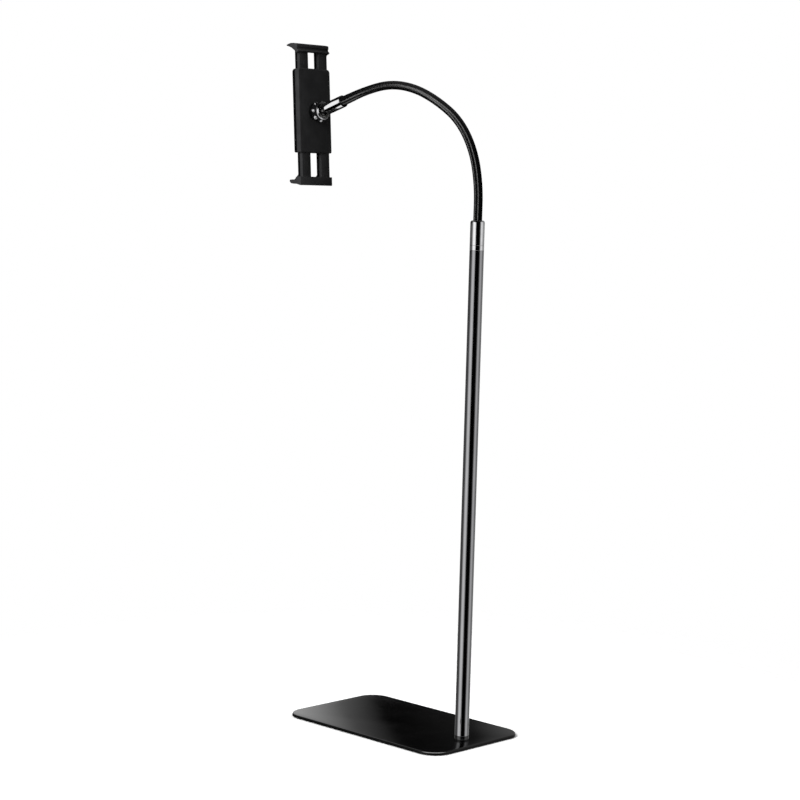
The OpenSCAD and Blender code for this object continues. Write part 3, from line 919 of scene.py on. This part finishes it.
@dataclass
class HolderBody:
    """The holder's two shells and the pad on its front, with depths counted from its back.

    Attributes:
        split: Depth of the joint between the shells.
        shoulder: Radius of the top corners.
        low_corner: Radius of the bottom corners.
        draft: How much narrower the front shell is at its front.
        seam: Width of the groove between the shells.
        rail_mid: Distance of a rail's middle from the holder's middle.
        rail_back: Depth of the rails' back.
        rail_front: Depth of the rails' front.
        rail_fit: Clearance round a rail.
        groove: Width and depth of a groove in the pad.
        groove_end: Distance of a groove's end from the pad's side.
    """

    width: float = 64 * MM
    height: float = 124 * MM
    depth: float = 14 * MM
    split: float = 7.9 * MM
    shoulder: float = 5 * MM
    low_corner: float = 1.9 * MM
    back_edge: float = 1.7 * MM
    front_edge: float = 0.8 * MM
    draft: float = 0.4 * MM
    seam: float = 0.25 * MM
    rail_mid: float = 19 * MM
    rail_width: float = 17.2 * MM
    rail_back: float = 1.5 * MM
    rail_front: float = 11.9 * MM
    rail_fit: float = 0.25 * MM
    pad_margin: float = 7 * MM
    pad_height: float = 1 * MM
    pad_corner: float = 5 * MM
    pad_edge: float = 0.35 * MM
    grooves: int = 21
    groove: tuple[float, float] = (1 * MM, 0.4 * MM)
    groove_end: float = 3 * MM

    def build(self, frame: HolderFrame) -> None:
        """Build the shells and the pad."""
        place, gap = frame.place(), self.seam / 2
        for name, node, finish, joint, end, edge in (
            ("rear_cover", "rear_shell", HOLDER_BLACK, -self.split + gap, 0.0, self.back_edge),
            # The front shell takes the darker copy of the plastic, as painted shade on its sides.
            ("front_cover", "front_shell", FRONT_SHADE_BLACK, -self.split - gap, -self.depth, self.front_edge),
        ):
            shell = self._blank(name, joint, end)
            self._taper(shell)
            for level, radius, segments in ((end, edge, 5), (joint, self.seam, 2)):
                round_edges(shell, radius, segments,
                            lambda a, b: max(abs(a.x - level), abs(b.x - level)) < WELD)
            combine(shell, self._channels(), "DIFFERENCE")
            finish_piece(placed(shell, place), finish, "holder", node)
        finish_piece(placed(self._pad(), place), PAD_RUBBER, "holder", "front_pad")

    def _blank(self, name: str, start: float, end: float) -> Object:
        """Extrude the body's outline between two depths."""
        w, h, r, s = self.width / 2, self.height / 2, self.shoulder, self.low_corner
        outline = arc((-w + s, -h + s), s, 180, 270, 3) + arc((w - s, -h + s), s, 270, 360, 3)
        outline += arc((w - r, h - r), r, 0, 90, 8) + arc((-w + r, h - r), r, 90, 180, 8)
        return extruded(name, [Vector((start, y, z)) for y, z in outline], Vector((end - start, 0, 0)))

    def _taper(self, shell: Object) -> None:
        """Draw the front face in, where a shell has it, so that the sides lean towards it."""
        for vertex in shell.data.vertices:
            if vertex.co.x < -self.depth + WELD:
                vertex.co.y *= 1 - 2 * self.draft / self.width
                vertex.co.z *= 1 - 2 * self.draft / self.height

    def _channels(self) -> list[Object]:
        """Solids of the two channels that the rails run in."""
        half = Vector((0, self.rail_width / 2 + self.rail_fit, self.height))
        back, front = -self.rail_back + self.rail_fit, -self.rail_front - self.rail_fit
        sides = (-ACROSS * self.rail_mid, ACROSS * self.rail_mid)
        return [block("channel", Vector((front, 0, 0)) + middle - half, Vector((back, 0, 0)) + middle + half)
                for middle in sides]

    def _pad(self) -> Object:
        """Round a thin block and groove it across."""
        w, h = self.width / 2 - self.pad_margin, self.height / 2 - self.pad_margin
        front = -self.depth - self.pad_height
        pad = block("grip_pad", Vector((front, -w, -h)), Vector((-self.depth, w, h)))
        round_edges(pad, self.pad_corner, 8, lambda a, b: abs(a.x - b.x) > self.pad_height / 2)
        round_edges(pad, self.pad_edge, 3, lambda a, b: max(a.x, b.x) < front + WELD)
        step = (2 * h - 2 * self.pad_margin) / (self.grooves - 1)
        wide, deep, reach = self.groove[0] / 2, self.groove[1], w - self.groove_end
        first = -h + self.pad_margin
        groove = block("groove", Vector((front - MM, -reach, first - wide)),
                       Vector((front + deep, reach, first + wide)))
        combine(pad, [repeated(groove, self.grooves, UP * step)], "DIFFERENCE")
        return pad


@dataclass
class JawShape:
    """Sizes of one jaw, with heights counted outwards from its crossbar's inner side.

    Attributes:
        name: Name of the jaw's piece.
        body: Body and node that it stands for.
        side: 1 for the upper jaw and -1 for the lower one.
        bar: Distance of the crossbar from the holder's middle.
        rail_end: Distance of the rails' inner ends from the holder's middle.
        groove: Lowest and highest point of the stop grooves.
        rail_top: Height at which the rails' backs end in the crossbar.
        profile: Side view of the crossbar and its hook, as depth and height.
        seat: Depth and height of the two ends of the pad's seat, from the lip to the root.
    """

    name: str
    body: str
    side: int
    bar: float
    rail_end: float
    groove: tuple[float, float]
    rail_top: float
    profile: Outline
    seat: Outline


def in_mm(points: Outline) -> Outline:
    """Turn an outline in millimetres into one in metres."""
    return [(x * MM, z * MM) for x, z in points]


@dataclass
class Jaws:
    """The two hooked jaws, each on two rails, with their pads.

    Attributes:
        half: Half the width of a crossbar.
        groove_width: Width of a stop groove.
        groove_depth: Depth of a stop groove.
        pad: Thickness of the hooks' pads.
        flare: Height over which the upper rails widen towards the crossbar.
        flare_depth: Depth of the widened part.
        ramp: Height of the lower hook's braces above its crossbar.
        waist: Depth of the step between the rails' rear and front halves; the rails' sides in front of it get
            painted shade.
        side_slope: Least part across the holder of the normal of a rail's side face that gets the painted
            shade.
        pad_groove: Depth of a groove in a hook's pad, and half its width.
    """

    holder: HolderBody
    half: float = 32 * MM
    groove_width: float = 5.4 * MM
    groove_depth: float = 3 * MM
    pad: float = 0.8 * MM
    flare: float = 4.8 * MM
    flare_depth: float = 3 * MM
    ramp: float = 3.4 * MM
    waist: float = -6.6 * MM
    side_slope: float = 0.3
    pad_grooves: int = 3
    pad_groove: float = 0.3 * MM

    def shapes(self) -> list[JawShape]:
        """Return the two jaws' sizes."""
        upper = [(-4.5, 0), (-1.5, 0), (0, 0.5), (0.4, 1.2), (0, 2.1), (-1.4, 3.4), (-2.4, 3.9), (-2.4, 6.4),
                 (-1.6, 7.2), (-1.6, 10.9), (-2.6, 11.9), (-9, 13.4), (-15.4, 13.9), (-21.4, 12.9),
                 (-23.8, 12), (-24.4, 11.2), (-24, 10.7), (-22.4, 10.1)]
        upper_seat = [(-22.4, 10.9), (-13.1, 7.1)]
        lower = [(-10.9, 0), (-1.3, 0), (-1.3, 11.9), (-2.1, 12.7), (-3.5, 12.7), (-10.9, 10.5), (-18.3, 9.8),
                 (-22.6, 8.9), (-24.5, 7.6), (-25.8, 5.4), (-25.3, 4.1), (-24.4, 3.4), (-23.2, 3.4)]
        lower_seat = [(-23.2, 4.2), (-19.3, 4.2)]
        return [
            JawShape("upper_hook_jaw", "upper_jaw", 1, 85.4 * MM, 30.2 * MM, (33.7 * MM, 73.1 * MM), 8 * MM,
                     in_mm(upper + upper_seat + [(-13.1, 6.3)]), in_mm(upper_seat)),
            JawShape("lower_hook_jaw", "lower_jaw", -1, 97.4 * MM, 34.2 * MM, (37.7 * MM, 86.5 * MM), 5 * MM,
                     in_mm(lower + lower_seat[:1] + self._bend(lower_seat[1])), in_mm(lower_seat)),
        ]

    def _bend(self, root: tuple[float, float]) -> Outline:
        """Curve from the root of the lower hook's seat to the front of the rails, in millimetres."""
        rail = -self.holder.rail_front / MM
        angles = [math.radians(90 - 15 * i) for i in range(7)]
        return [(rail + (root[0] - rail) * (1 - math.cos(a)), root[1] * math.sin(a)) for a in angles]

    def build(self, frame: HolderFrame) -> None:
        """Build both jaws and their pads."""
        for shape in self.shapes():
            place = frame.place() @ Matrix.Diagonal((1, 1, shape.side, 1))
            jaw, pad = placed(self._jaw(shape), place), placed(self._pad(shape), place)
            if shape.side < 0:
                for mirrored in (jaw, pad):
                    close_mesh(mirrored)
            finish_piece(jaw, HOLDER_BLACK, shape.body, shape.body)
            # Painted shade on the sides of the rails' front half.
            self._paint_front_shade(jaw, frame.place().inverted(), shape.bar)
            finish_piece(pad, PAD_RUBBER, shape.body, f"{shape.body}_pad")

    def _paint_front_shade(self, jaw: Object, to_holder: Matrix, bar: float) -> None:
        """Paint shade on the sides of the rails' front half, with the front shell's darker copy of the
        plastic.
        """
        def in_painted_shade(face: bpy.types.MeshPolygon) -> bool:
            middle = to_holder @ face.center
            return abs(face.normal.y) > self.side_slope and middle.x < self.waist and abs(middle.z) < bar
        second_finish(jaw, FRONT_SHADE_BLACK, in_painted_shade)

    def _jaw(self, shape: JawShape) -> Object:
        """Extrude the crossbar with its hook, add the rails, and cut the stop grooves."""
        corners = [Vector((x, -self.half, shape.bar + z)) for x, z in shape.profile]
        jaw = extruded(shape.name, corners, ACROSS * 2 * self.half)
        ease_edges(jaw, 0.45 * MM, 3, 28)
        brace = self._flare if shape.side > 0 else self._ramp
        for side in (-1, 1):
            combine(jaw, [self._rail(shape, side), brace(shape, side)], "UNION")
        combine(jaw, [self._groove(shape, side) for side in (-1, 1)], "DIFFERENCE")
        return jaw

    def _rail(self, shape: JawShape, side: int) -> Object:
        """Extrude a rail whose back edges are rounded and whose front half is set in."""
        half, back, front = self.holder.rail_width / 2, -self.holder.rail_back, -self.holder.rail_front
        edge, waist, step, draft, bevel = 0.5 * MM, self.waist, 0.2 * MM, 0.35 * MM, 0.3 * MM
        right = arc((back - edge, half - edge), edge, 0, 90, 3)
        right += [(waist, half), (waist - bevel, half - step), (front + bevel, half - draft),
                  (front, half - draft - bevel)]
        outline = right + [(x, -y) for x, y in reversed(right)]
        middle = side * self.holder.rail_mid
        corners = [Vector((x, middle + y, shape.rail_end)) for x, y in outline]
        rail = extruded("rail", corners, UP * (shape.bar + shape.rail_top - shape.rail_end))
        back_top = shape.bar + 1.5 * MM
        for vertex in rail.data.vertices:
            if vertex.co.z > shape.bar and vertex.co.x > waist:
                vertex.co.z = back_top
        return rail

    def _flare(self, shape: JawShape, side: int) -> Object:
        """Widen a rail at its back towards the end of the crossbar."""
        inner = self.holder.rail_mid + self.holder.rail_width / 2 - 2 * MM
        low, wide = shape.bar - self.flare, self.half - 0.3 * MM
        curve = arc((wide, low), wide - inner - 2 * MM, 180, 90, 5)
        outline = [(inner, low)] + curve + [(wide, shape.bar + MM), (inner, shape.bar + MM)]
        back = -self.holder.rail_back - 0.3 * MM
        corners = [Vector((back - self.flare_depth, side * y, z)) for y, z in outline]
        return extruded("flare", corners, Vector((self.flare_depth, 0, 0)))

    def _ramp(self, shape: JawShape, side: int) -> Object:
        """Brace a hook against the front of a rail."""
        front, low = -self.holder.rail_front, shape.bar - self.ramp
        root, flat = shape.seat[1][0], shape.bar + shape.seat[1][1]
        outline = [(front + MM, low), (front, low), (root, flat - self.pad - 0.6 * MM),
                   (root, flat + MM), (front + MM, flat + MM)]
        half = self.holder.rail_width / 2 - 0.5 * MM
        middle = side * self.holder.rail_mid
        return extruded("ramp", [Vector((x, middle - half, z)) for x, z in outline], ACROSS * 2 * half)

    def _groove(self, shape: JawShape, side: int) -> Object:
        """Solid of a rail's stop groove, with rounded ends."""
        front, half, middle = -self.holder.rail_front, self.groove_width / 2, side * self.holder.rail_mid
        low, high = shape.groove
        outline = arc((middle, low + half), half, 180, 360, 8) + arc((middle, high - half), half, 0, 180, 8)
        corners = [Vector((front - MM, y, z)) for y, z in outline]
        return extruded("stop_groove", corners, Vector((self.groove_depth + MM, 0, 0)))

    def _pad(self, shape: JawShape) -> Object:
        """Lay a thin strip with rounded rims on a hook's seat, and groove it along its length."""
        lip, root = (Vector((x, -self.half + MM, shape.bar + z)) for x, z in shape.seat)
        thick, length = UP * self.pad, ACROSS * 2 * (self.half - MM)
        pad = extruded(f"{shape.body}_grip", [lip, root, root - thick, lip - thick], length)
        ease_edges(pad, 0.2 * MM, 2, 60)
        wide, deep = (root - lip).normalized() * self.pad_groove, UP * self.pad_groove
        for k in range(self.pad_grooves):
            start = lip.lerp(root, (k + 1) / (self.pad_grooves + 1)) - thick - ACROSS * MM
            corners = [start - wide, start + wide, start + wide * 0.4 + deep, start - wide * 0.4 + deep]
            combine(pad, [extruded("groove", corners, ACROSS * 2 * self.half)], "DIFFERENCE")
        return pad


@dataclass
class HiddenParts:
    """Nodes of the frame whose own shape is shown: screws, plugs, liners, the socket and the brake strips.

    Attributes:
        finishes: Each finish, and the nodes that have it.
    """

    finishes: tuple[tuple[Finish, tuple[str, ...]], ...] = (
        (PLAIN_STEEL, ("base_bolt", "pole_foot_plug", "pole_top_plug", "socket_screw_high",
                       "socket_screw_low", *(f"shell_screw_{k}" for k in range(1, 5)))),
        (WHITE_LINER, ("ball_seat_back", "ball_seat_front")),
        (GLOSS_BLACK, ("ball_socket",)),
        (PAD_RUBBER, ("upper_brake", "lower_brake")),
    )

    def dress(self, nodes: dict[str, Object]) -> None:
        """Give each node its finish."""
        for finish, names in self.finishes:
            for name in names:
                finish.dress(nodes[name])
            LOG.info("frame nodes with finish %s: %d", finish.name, len(names))


# The studio: camera, floor, walls that only reflections see, and lamps

def towards(azimuth: float, elevation: float) -> Vector:
    """Unit vector from the stand towards a direction.

    Args:
        azimuth: Direction round the stand, in degrees; 0 is on the -Y side and 90 on the +X side.
        elevation: Height above the horizon, in degrees.

    Returns:
        The vector.
    """
    a, e = math.radians(azimuth), math.radians(elevation)
    return Vector((math.sin(a) * math.cos(e), -math.cos(a) * math.cos(e), math.sin(e)))


@dataclass(frozen=True)
class Lamp:
    """A soft lamp that looks at a point of the stand.

    Attributes:
        back: Unit vector from the point towards the lamp.
        power: Power in watts.
        shape: RECTANGLE or DISK.
    """

    name: str
    back: Vector
    distance: float
    size: tuple[float, float]
    power: float
    shape: str = "RECTANGLE"

    def hang(self, point: Vector) -> Object:
        """Hang the lamp so that it looks at the point."""
        data = bpy.data.lights.new(self.name, "AREA")
        data.shape = self.shape
        data.size, data.size_y = self.size
        data.energy = self.power
        hung = bpy.data.objects.new(self.name, data)
        hung.location = point + self.back * self.distance
        hung.rotation_euler = self.back.to_track_quat("Z", "Y").to_euler()
        hung.visible_camera = False
        bpy.context.scene.collection.objects.link(hung)
        return hung


@dataclass(frozen=True)
class Card:
    """A glowing card that only reflections see.

    Attributes:
        back: Unit vector from the stand's axis towards the card.
        height: Height of the point that the distance is counted from.
        glow: Strength of its light.
        shown_by: Starts of the names of the pieces that show it.
        tones: Places across the card, from 0 to 1, and how much of the glow each has.
    """

    name: str
    back: Vector
    distance: float
    height: float
    size: tuple[float, float]
    glow: float
    shown_by: tuple[str, ...]
    tones: tuple[tuple[float, float], ...] = ((0, 1), (1, 1))


def shown_only_by(light: Object, starts: tuple[str, ...]) -> None:
    """Let a light fall only on the pieces whose names start so."""
    lit = bpy.data.collections.new(f"{light.name}_shown_by")
    for piece in bpy.data.objects:
        if piece.name.startswith(starts):
            lit.objects.link(piece)
    light.light_linking.receiver_collection = lit


@dataclass
class Studio:
    """Camera, floor and light, with angles in degrees.

    Attributes:
        aim: Point that the camera's distance is counted from.
        roll: Turn of the camera about its own axis.
        shift: Step of the camera to its right and upwards.
        focal: Focal length, in pixels of the frame.
        frame: Width of the frame, in pixels.
        sensor: Width of the sensor, in millimetres.
        floor_fade: Shares of the floor's radius between which it fades away.
        corner: Radius of the plate's corners.
        shade: Width of the painted shadow line past the plate's rim, over which the floor's camera-only glow
            fades back in.
        tent_middle: Height of the middle of the wall that reflections show.
        wall: Tones of that wall, by the direction to the camera's right.
        wall_shown_by: Starts of the names of the pieces that show it.
        horizon: Heights of the sky between which reflections of it darken.
        sky: Its brightness in reflections, at and above the horizon.
        fill: Strength of the even light that comes from all sides.
        ring_height: Height of the middle of the ring of lamps that the arm shows.
        ring_distance: Distance of those lamps from it.
        ring_turns: Their places on the ring, counted from +X towards +Z.
        ring_power: Their power in watts.
    """

    aim: Vector = field(default_factory=lambda: Vector((0.117, 0, 0.4)))
    azimuth: float = 44.324
    elevation: float = 5.769
    roll: float = 1.582
    distance: float = 2.917623
    shift: tuple[float, float] = (-0.097891, 0.085334)
    focal: float = 2091.916
    frame: float = 800
    sensor: float = 36
    floor_radius: float = 0.9
    floor_fade: tuple[float, float] = (0.45, 0.98)
    corner: float = Base.corner
    shade: float = 6 * MM
    tent_radius: float = 2.3
    tent_height: float = 6.0
    tent_middle: float = -0.4
    wall: tuple[tuple[float, float], ...] = (
        (-180, 0.3), (-150, 0.12), (-88, 0.11), (-72, 0.85), (-52, 1.25), (-32, 0.95), (-17, 0.05), (-9, 0.0),
        (35, 0.0), (47, 0.1), (60, 0.75), (78, 0.85), (94, 0.6), (104, 0.34), (180, 0.3),
    )
    wall_shown_by: tuple[str, ...] = ("plate", "pole", "arm_collar", "ball_lock_nut")
    horizon: tuple[float, float] = (0.12, 0.35)
    sky: tuple[float, float] = (1.0, 0.10)
    fill: float = 0.07
    ring_height: float = 0.88
    ring_distance: float = 1.2
    ring_turns: range = range(-35, 246, 14)
    ring_lamp: float = 0.22
    ring_power: float = 0.36

    def cards(self) -> list[Card]:
        """Return the cards that reflections show."""
        rear_tones = ((0, 1), (0.31, 0.85), (0.405, 0.17), (0.475, 0), (0.63, 0.02), (0.7, 0.17), (1, 0.5))
        behind = self.azimuth + 180
        return [
            Card("rear_card", towards(behind, 0), 1.3, 0.8, (1.4, 1.5), 1.3, ("plate",), rear_tones),
            Card("rim_card", towards(self.azimuth, 60), 2.5, 0.0, (8.0, 2.6), 11.0, ("plate",)),
            Card("front_card", towards(46, 4), 2.0, 0.85, (1.6, 1.5), 1.9, ("ball_lock_nut", "arm_ball")),
            Card("ferrule_card", towards(-63.6, 0), 0.506, 0.9, (0.32, 0.33), 1.1, ("arm_ferrule",)),
        ]

    @staticmethod
    def lamps() -> list[Lamp]:
        """Return the lamps that light the whole stand."""
        return [
            Lamp("key_lamp", towards(-2, 30), 2.4, (1.2, 1.6), 72),
            Lamp("side_lamp", towards(134, 30), 2.6, (1.0, 1.4), 1),
            Lamp("top_lamp", towards(30, 80), 2.4, (1.6, 1.6), 9),
        ]

    def build(self) -> None:
        """Make the camera, the floor, the walls, the world and the lamps."""
        bpy.context.scene.view_settings.view_transform = "Standard"
        self._camera()
        self._floor()
        self._tent()
        for card in self.cards():
            self._card(card)
        self._world()
        for lamp in self.lamps():
            lamp.hang(self.aim).visible_glossy = False
        for turn in self.ring_turns:
            self._ring_lamp(turn)

    def _camera(self) -> None:
        """Set the camera up at the photograph's view."""
        back = towards(self.azimuth, self.elevation)
        level = UP.cross(back).normalized()
        rise = back.cross(level)
        roll = math.radians(self.roll)
        right = level * math.cos(roll) + rise * math.sin(roll)
        up = rise * math.cos(roll) - level * math.sin(roll)
        data = bpy.data.cameras.new("camera")
        data.sensor_width = self.sensor
        data.lens = self.focal / self.frame * self.sensor
        camera = bpy.data.objects.new("camera", data)
        eye = self.aim + back * self.distance + right * self.shift[0] + up * self.shift[1]
        camera.matrix_world = axes(right, up, back, eye)
        bpy.context.scene.collection.objects.link(camera)
        bpy.context.scene.camera = camera

    def _floor(self) -> None:
        """Lay a pale round floor that fades into the background at its rim, with a painted shadow round the
        plate.
        """
        leave_edit()
        bpy.ops.mesh.primitive_circle_add(vertices=96, radius=self.floor_radius, fill_type="NGON")
        floor = just_added("floor")
        made, tree = new_material("pale_floor")
        where = add_node(tree, "TexCoord").outputs["Object"]
        seen = add_node(tree, "LightPath").outputs["Is Camera Ray"]
        # The camera-only glow is taken off under the plate, where the real shadow then shows, and past its
        # rim, where it paints a shadow line.
        clear = {0: seen, 1: self._beyond_plate(tree, where)}
        fade = tuple(share * self.floor_radius for share in self.floor_fade)
        feed(tree.nodes["Principled BSDF"], {
            "Base Color": (0.9, 0.9, 0.9, 1),
            "Roughness": 0.9,
            "Specular IOR Level": 0.0,
            "Emission Color": (0.6, 0.6, 0.6, 1),
            "Emission Strength": add_node(tree, "Math", clear, operation="MULTIPLY"),
            "Alpha": add_range(tree, self._length(tree, where), fade, (1, 0),
                               interpolation_type="SMOOTHSTEP"),
        })
        floor.data.materials.append(made)
        floor.visible_glossy = False

    @staticmethod
    def _length(tree: Tree, vector: object) -> bpy.types.NodeSocket:
        """Add a node that measures a vector, and return its output."""
        return add_node(tree, "VectorMath", {0: vector}, operation="LENGTH").outputs["Value"]

    def _beyond_plate(self, tree: Tree, where: object) -> Node:
        """Add nodes that give 0 under the plate and 1 beyond it, rising over the painted shadow line past its
        rim.
        """
        _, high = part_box("base_plate")
        none = (0, 0, 0)
        flat = (high.x - self.corner, high.y - self.corner, 0)
        for operation, value in (("ABSOLUTE", none), ("SUBTRACT", flat), ("MAXIMUM", none)):
            where = add_node(tree, "VectorMath", {0: where, 1: value}, operation=operation)
        return add_range(tree, self._length(tree, where), (self.corner - MM, self.corner + self.shade))

    def _tent(self) -> None:
        """Stand a round wall about the stand: dark behind the camera, light on both sides."""
        leave_edit()
        middle = (self.aim.x, 0, self.tent_middle)
        bpy.ops.mesh.primitive_cylinder_add(vertices=128, radius=self.tent_radius, depth=self.tent_height,
                                            end_fill_type="NOTHING", location=middle)
        tent = just_added("studio_wall")
        tree = self._only_reflected(tent, self.wall_shown_by)
        where = add_node(tree, "TexCoord").outputs["Object"]
        turn = (0, 0, math.radians(90 - self.azimuth))
        place = add_node(tree, "Mapping", {"Vector": where, "Rotation": turn})
        around = add_node(tree, "TexGradient", {"Vector": place}, gradient_type="RADIAL").outputs["Fac"]
        self._glow(tree, around, [(0.5 + angle / 360, tone) for angle, tone in self.wall], 1.0)

    def _card(self, card: Card) -> None:
        """Hang a glowing card."""
        leave_edit()
        bpy.ops.mesh.primitive_plane_add(size=1)
        hung = just_added(card.name)
        across = UP.cross(-card.back).normalized()
        middle = card.back * card.distance + UP * card.height
        hung.matrix_world = axes(across, across.cross(card.back), -card.back, middle)
        hung.scale = (*card.size, 1)
        tree = self._only_reflected(hung, card.shown_by)
        where = add_node(tree, "TexCoord").outputs["Object"]
        along = add_node(tree, "SeparateXYZ", {"Vector": where}).outputs["X"]
        self._glow(tree, add_range(tree, along, (-0.5, 0.5)), card.tones, card.glow)

    @staticmethod
    def _only_reflected(light: Object, shown_by: tuple[str, ...]) -> Tree:
        """Hide a surface from all but reflections, and give it an empty material.

        Args:
            light: The surface.
            shown_by: Starts of the names of the pieces that show it.

        Returns:
            The material's nodes.
        """
        made, tree = new_material(light.name)
        tree.nodes.clear()
        light.data.materials.append(made)
        for ray in ("camera", "diffuse", "transmission", "volume_scatter", "shadow"):
            setattr(light, f"visible_{ray}", False)
        shown_only_by(light, shown_by)
        return tree

    @staticmethod
    def _glow(tree: Tree, place: object, tones: Sequence[tuple[float, float]], glow: float) -> None:
        """Light a surface up by tones that run along a value from 0 to 1."""
        ramp = add_node(tree, "ValToRGB", {"Fac": place})
        elements = ramp.color_ramp.elements
        while len(elements) < len(tones):
            elements.new(1.0)
        for element, (at, tone) in zip(elements, tones):
            element.position = at
            element.color = (tone, tone, tone, 1)
        light = add_node(tree, "Emission", {"Color": ramp, "Strength": glow})
        add_node(tree, "OutputMaterial", {"Surface": light})

    def _world(self) -> None:
        """Light the stand evenly, and show white to the camera and in reflections near the horizon."""
        world = bpy.data.worlds.new("studio")
        bpy.context.scene.world = world
        world.use_nodes = True
        tree = world.node_tree
        tree.nodes.clear()

        def greater(one: object, other: object) -> Node:
            return add_node(tree, "Math", {0: one, 1: other}, operation="MAXIMUM")

        def even(strength: object) -> Node:
            return add_node(tree, "Background", {"Color": (1, 1, 1, 1), "Strength": strength})

        path = add_node(tree, "LightPath").outputs
        camera, glossy, through = (path[f"Is {ray} Ray"] for ray in ("Camera", "Glossy", "Transmission"))
        where = add_node(tree, "TexCoord").outputs["Generated"]
        height = add_node(tree, "SeparateXYZ", {"Vector": where}).outputs["Z"]
        white = greater(add_range(tree, height, self.horizon, self.sky), camera)
        shown = greater(greater(camera, glossy), through)
        mix = add_node(tree, "MixShader", {"Fac": shown, 1: even(self.fill), 2: even(white)})
        add_node(tree, "OutputWorld", {"Surface": mix})

    def _ring_lamp(self, turn: float) -> None:
        """Hang a round lamp on a ring before the arm, for the light line that runs along the arm.

        The arm bends in the XZ plane, so the ring faces -Y, and its half angle is the camera's own to -Y.

        Args:
            turn: Place on the ring, in degrees, counted from +X towards +Z.
        """
        half, angle = math.radians(self.azimuth), math.radians(turn)
        back = Vector((math.sin(half) * math.cos(angle), -math.cos(half), math.sin(half) * math.sin(angle)))
        size = (self.ring_lamp, self.ring_lamp)
        lamp = Lamp(f"ring_lamp_{turn}", back, self.ring_distance, size, self.ring_power, "DISK")
        shown_only_by(lamp.hang(UP * self.ring_height), ("arm_sleeve",))


def joint_named(joints: list[dict], name: str) -> dict:
    """Return the joint of that name."""
    return next(joint for joint in joints if joint["name"] == name)


def main() -> None:
    """Build the stand's pieces in order, then the studio."""
    logging.basicConfig(level=logging.INFO, format="%(name)s: %(message)s")
    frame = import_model()
    joints = frame["joints"]
    bends = [joint for joint in joints if joint["name"].startswith("neck_")]
    arm_line = ArmLine([Vector(joint["pos_m"]) for joint in bends])
    spin, pan = joint_named(joints, "holder_spin"), joint_named(joints, "holder_pan")
    holder_frame = HolderFrame(Vector(spin["pos_m"]), Vector(spin["axis"]), Vector(pan["axis"]))
    holder = HolderBody()
    Base().build()
    Pole().build()
    FlexibleArm(arm_line).build()
    LockNut().build(holder_frame)
    holder.build(holder_frame)
    Jaws(holder).build(holder_frame)
    HiddenParts().dress(frame["nodes"])
    Studio().build()


if __name__ == "__main__":
    main()
